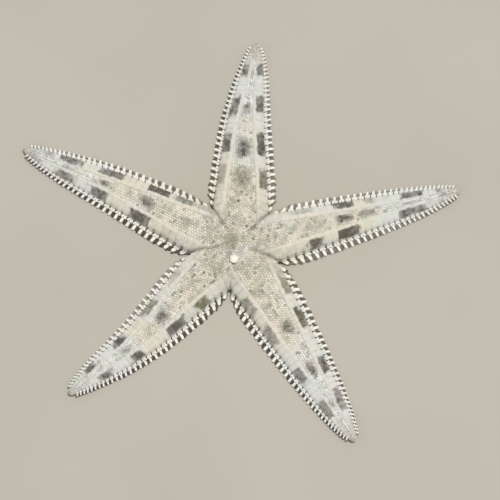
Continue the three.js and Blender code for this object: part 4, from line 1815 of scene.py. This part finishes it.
def stamp_jaw(guards, arm, side):
    """Spines along one edge of the jaw in the corner on the arm's left."""
    corner = math.atan2(skin_width(arm, arm.left_skin_pit / arm.length), arm.left_skin_pit)
    reach, off, long, swing = np.array(JAW_SPINES).T
    off = off * side
    s = reach * math.cos(corner) - off * math.sin(corner)
    y = reach * math.sin(corner) + off * math.cos(corner)
    at = place(arm, s, y, 0.42 + 0.25 * np.exp(-reach + 1.2))
    axes = heading_frames(arm, corner + math.pi + side * swing, JAW_DIP)
    scale = vectors(JAW_WIDTH, long, JAW_THICKNESS)
    look = vectors(0.0, 0.0, rng.random(len(s)))
    guards.stamp(NEEDLE, at, axes, scale, look, unwrap(arm, s, side * 0.93, True))


def make_furrow():
    """Spines over the grooves and the mouth, and the tube feet between them."""
    guards = Coat("furrow_spines", UNDER_LOOK)
    feet = Coat("tube_feet", TUBE_LOOK)
    for arm in ARMS:
        for side in (1, -1):
            stamp_guards(guards, arm, side)
            stamp_feet(feet, arm, side)
        for side in (1, -1):
            stamp_jaw(guards, arm, side)
    guards.build()
    feet.build()


make_furrow()


# ---- Madreporite ----


SIEVE_AROUND = 144
SIEVE_RINGS = 34
SIEVE_DEPTH = 0.1  # of the grooves


def sieve_material():
    n = Nodes("sieve_look")
    *_, rise = n.look()
    # Painted shade in the grooves, white on the ridges.
    colour = n.mix(n.ramp(rise, 0.0, 0.75), SIEVE_GROOVE_PAINTED_SHADE, SIEVE_WHITE)
    stain = n.math("MULTIPLY", n.ramp(n.noise(0.35, 3.0), 0.45, 0.7), 0.2)
    colour = n.mix(stain, colour, SIEVE_STAIN)
    n.hard_surface(colour, 0.09)
    return n.material


def make_madreporite():
    """The sieve plate, a low dome with winding grooves that fork outwards."""
    around = SIEVE_AROUND
    angle = np.arange(around) * math.tau / around
    rows = []
    for r in np.linspace(0.02, 1.0, SIEVE_RINGS):
        winding = 0.5 * np.sin(3 * angle + 5 * r) + 0.35 * np.sin(5 * angle - 8 * r)
        inner = np.cos(6 * angle + 2.2 * winding)
        outer = np.cos(13 * angle + 2.6 * winding + 3 * r)
        forked = lerp(inner, outer, smoothstep(r, 0.32, 0.55))
        groove = np.clip(0.5 - 0.9 * forked, 0, 1) * smoothstep(r, 0.04, 0.14)
        edge = 1 + 0.035 * np.sin(5 * angle + 1) + 0.02 * np.sin(11 * angle)
        reach = MADREPORITE_RADIUS * r * edge * 0.97
        z = MADREPORITE_RISE * (1 - r**3.2) - SIEVE_DEPTH * groove * (1 - 0.4 * r)
        rows.append(vectors(reach * np.cos(angle), reach * np.sin(angle), z, groove))
    rim = rows[-1].copy()
    for down in (0.2, 0.45):
        lower = rim.copy()
        lower[:, :2] *= 0.99
        lower[:, 2] = -down
        rows.append(lower)
    rows = np.array(rows)
    height = RIM_HEIGHT + 0.5 * DOME_RISE
    points = rows[..., :3].reshape(-1, 3) + [*SIEVE, height]
    points = np.vstack([points, [*SIEVE, height + MADREPORITE_RISE]])
    grooves = np.append(rows[..., 3].ravel(), 0)
    index, ahead = closed_rows(len(rows), around)
    quads = vectors(index[:-1], index[1:], ahead[1:], ahead[:-1]).reshape(-1, 4)
    top = vectors(index[0], ahead[0], len(points) - 1)
    look = np.tile([0.0, 0.0, 0.5], (len(points), 1))
    piece = mesh_object("madreporite_sieve", points, *gathered([quads, top]), look,
                        1 - grooves, None, sieve_material())
    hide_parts("madreporite")


make_madreporite()


# ---- Terminal plates ----


TERMINAL_GRAINS = 26  # around the plate
TERMINAL_GRAIN_HEIGHT = 0.1
TERMINAL_AROUND = 96
TERMINAL_RINGS = 34


def terminal_material():
    n = Nodes("terminal_look")
    *_, rise = n.look()
    cloud = n.ramp(n.noise(0.8, 3.0), 0.35, 0.65)
    colour = n.mix(cloud, TERMINAL_PALE, TERMINAL_GREY)
    # Painted shade between the grains and in the notch below.
    colour = n.mix(n.ramp(rise, 0.1, 0.7, 0.75, 0.0), colour, TERMINAL_PAINTED_SHADE)
    n.hard_surface(colour, 0.1)
    return n.material


def make_terminal_plates():
    """The single grainy plate that ends each arm, notched below."""
    material = terminal_material()
    around = TERMINAL_AROUND
    angle = np.arange(around) * math.tau / around
    shares = np.sin(np.linspace(0, 0.5, TERMINAL_RINGS) * math.pi)
    for arm in ARMS:
        start = ARM_END * arm.length + 0.05
        rows = []
        grains = []
        for share in shares * 0.985:
            s = np.full(around, lerp(start, arm.length, share))
            t = s / arm.length
            width = half_width(arm, t) * (0.9 if share == 0 else 0.97)
            high = settled(t, Sizes(arm, t).top - 0.08)
            low = settled(t, EDGE_BOTTOM * 0.6)
            middle, tall = (high + low) / 2, (high - low) / 2
            c, sn = np.cos(angle), np.sin(angle)
            turns = TERMINAL_GRAINS * angle / math.tau
            along_plate = math.tau * (TERMINAL_GRAINS // 2) * 0.42 * share
            grain = np.cos(math.tau * turns) + 2 * np.cos(math.pi * turns) * np.cos(along_plate)
            grain = np.clip((grain + 1.5) / 4.5, 0, 1) ** 0.7
            fading = (1 - share**6) * smoothstep(share, 0.0, 0.06)
            swell = 1 + (grain - 0.6) * TERMINAL_GRAIN_HEIGHT * fading / tall
            y = width * np.sign(c) * np.abs(c) ** 0.8 * swell
            z = tall * np.sign(sn) * np.abs(sn) ** 0.8 * swell
            z += 0.3 * tall * np.exp(-((y / (0.32 * width)) ** 2)) * (sn < 0)
            pit = np.exp(-((y / (0.2 * width)) ** 2)) * (sn > 0) * smoothstep(share, 0.2, 0.7)
            z = middle + z - 0.12 * tall * pit
            rows.append(vectors(s, y, z))
            grains.append(grain * (1 - 0.5 * pit))
        rows = np.array(rows)
        tip = np.array([arm.length - 0.005, 0, rows[-1, :, 2].mean()])
        back = np.array([start - 0.02, 0, rows[0, :, 2].mean()])
        flat = np.vstack([rows.reshape(-1, 3), tip, back])
        points = place(arm, *flat.T)
        index, ahead = closed_rows(len(rows), around)
        quads = vectors(index[:-1], ahead[:-1], ahead[1:], index[1:]).reshape(-1, 4)
        front = vectors(index[-1], ahead[-1], index.size)
        rear = vectors(ahead[0], index[0], index.size + 1)
        look = np.tile([0.0, 0.0, 0.5], (len(points), 1))
        rise = np.append(np.array(grains).ravel(), [0.8, 0.3])
        piece = mesh_object(f"terminal_{arm.name}", points, *gathered([quads, front, rear]),
                            look, rise, None, material)
        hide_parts(f"terminal_plate_{arm.name}")


make_terminal_plates()


# ---- Floor, light and camera ----


FLOOR_HALF = 1.2
FLOOR_ROUGHNESS = 0.9
CAMERA_ELEVATION = 75
CAMERA_DISTANCE = 0.6
CAMERA_LENS = 177
SENSOR = 36
AIM_RIGHT = 0.0032
SKY_STRENGTH = 0.44
# name, place, size, power, colour
LAMPS = (
    ("key", (0.25, 0.05, 1.6), 0.22, 18, (1.0, 0.99, 0.975)),
    ("fill", (-1.0, -0.9, 1.2), 1.5, 1.5, (0.98, 0.99, 1.0)),
)


def make_stage():
    mesh = bpy.data.meshes.new("floor")
    square = ((-1, -1), (1, -1), (1, 1), (-1, 1))
    mesh.from_pydata([(x * FLOOR_HALF, y * FLOOR_HALF, 0) for x, y in square],
                     [], [(0, 1, 2, 3)])
    floor = bpy.data.objects.new("floor", mesh)
    bpy.context.scene.collection.objects.link(floor)
    n = Nodes("floor_look")
    n.feed(n.shader.inputs["Base Color"],
           n.mix(n.ramp(n.noise(60), 0.3, 0.7), FLOOR_DARK, FLOOR_PALE))
    n.shader.inputs["Roughness"].default_value = FLOOR_ROUGHNESS
    mesh.materials.append(n.material)


def aim(thing, target):
    """Turn a lamp or camera towards a point."""
    direction = np.array(target, float) - np.array(thing.location, float)
    thing.rotation_euler = Vector(direction).to_track_quat("-Z", "Y").to_euler()


def make_lamps():
    for name, position, size, power, colour in LAMPS:
        light = bpy.data.lights.new(name, "AREA")
        light.shape = "DISK"
        light.size = size
        light.energy = power
        light.color = colour
        thing = bpy.data.objects.new(name, light)
        thing.location = position
        aim(thing, (centre_x, centre_y, 0.0))
        bpy.context.scene.collection.objects.link(thing)


def make_camera():
    data = bpy.data.cameras.new("camera")
    data.lens, data.sensor_width = CAMERA_LENS, SENSOR
    data.clip_start, data.clip_end = 0.05, 5
    camera = bpy.data.objects.new("camera", data)
    target = (centre_x + AIM_RIGHT, centre_y, 0.0)
    up = math.radians(CAMERA_ELEVATION)
    camera.location = (target[0], target[1] - CAMERA_DISTANCE * math.cos(up),
                       CAMERA_DISTANCE * math.sin(up))
    aim(camera, target)
    bpy.context.scene.collection.objects.link(camera)
    bpy.context.scene.camera = camera


def make_sky():
    world = bpy.data.worlds.new("world")
    bpy.context.scene.world = world
    world.use_nodes = True
    sky = world.node_tree.nodes["Background"]
    sky.inputs["Color"].default_value = SKY
    sky.inputs["Strength"].default_value = SKY_STRENGTH


make_stage()
make_lamps()
make_camera()
make_sky()
bpy.context.scene.view_settings.view_transform = "Standard"
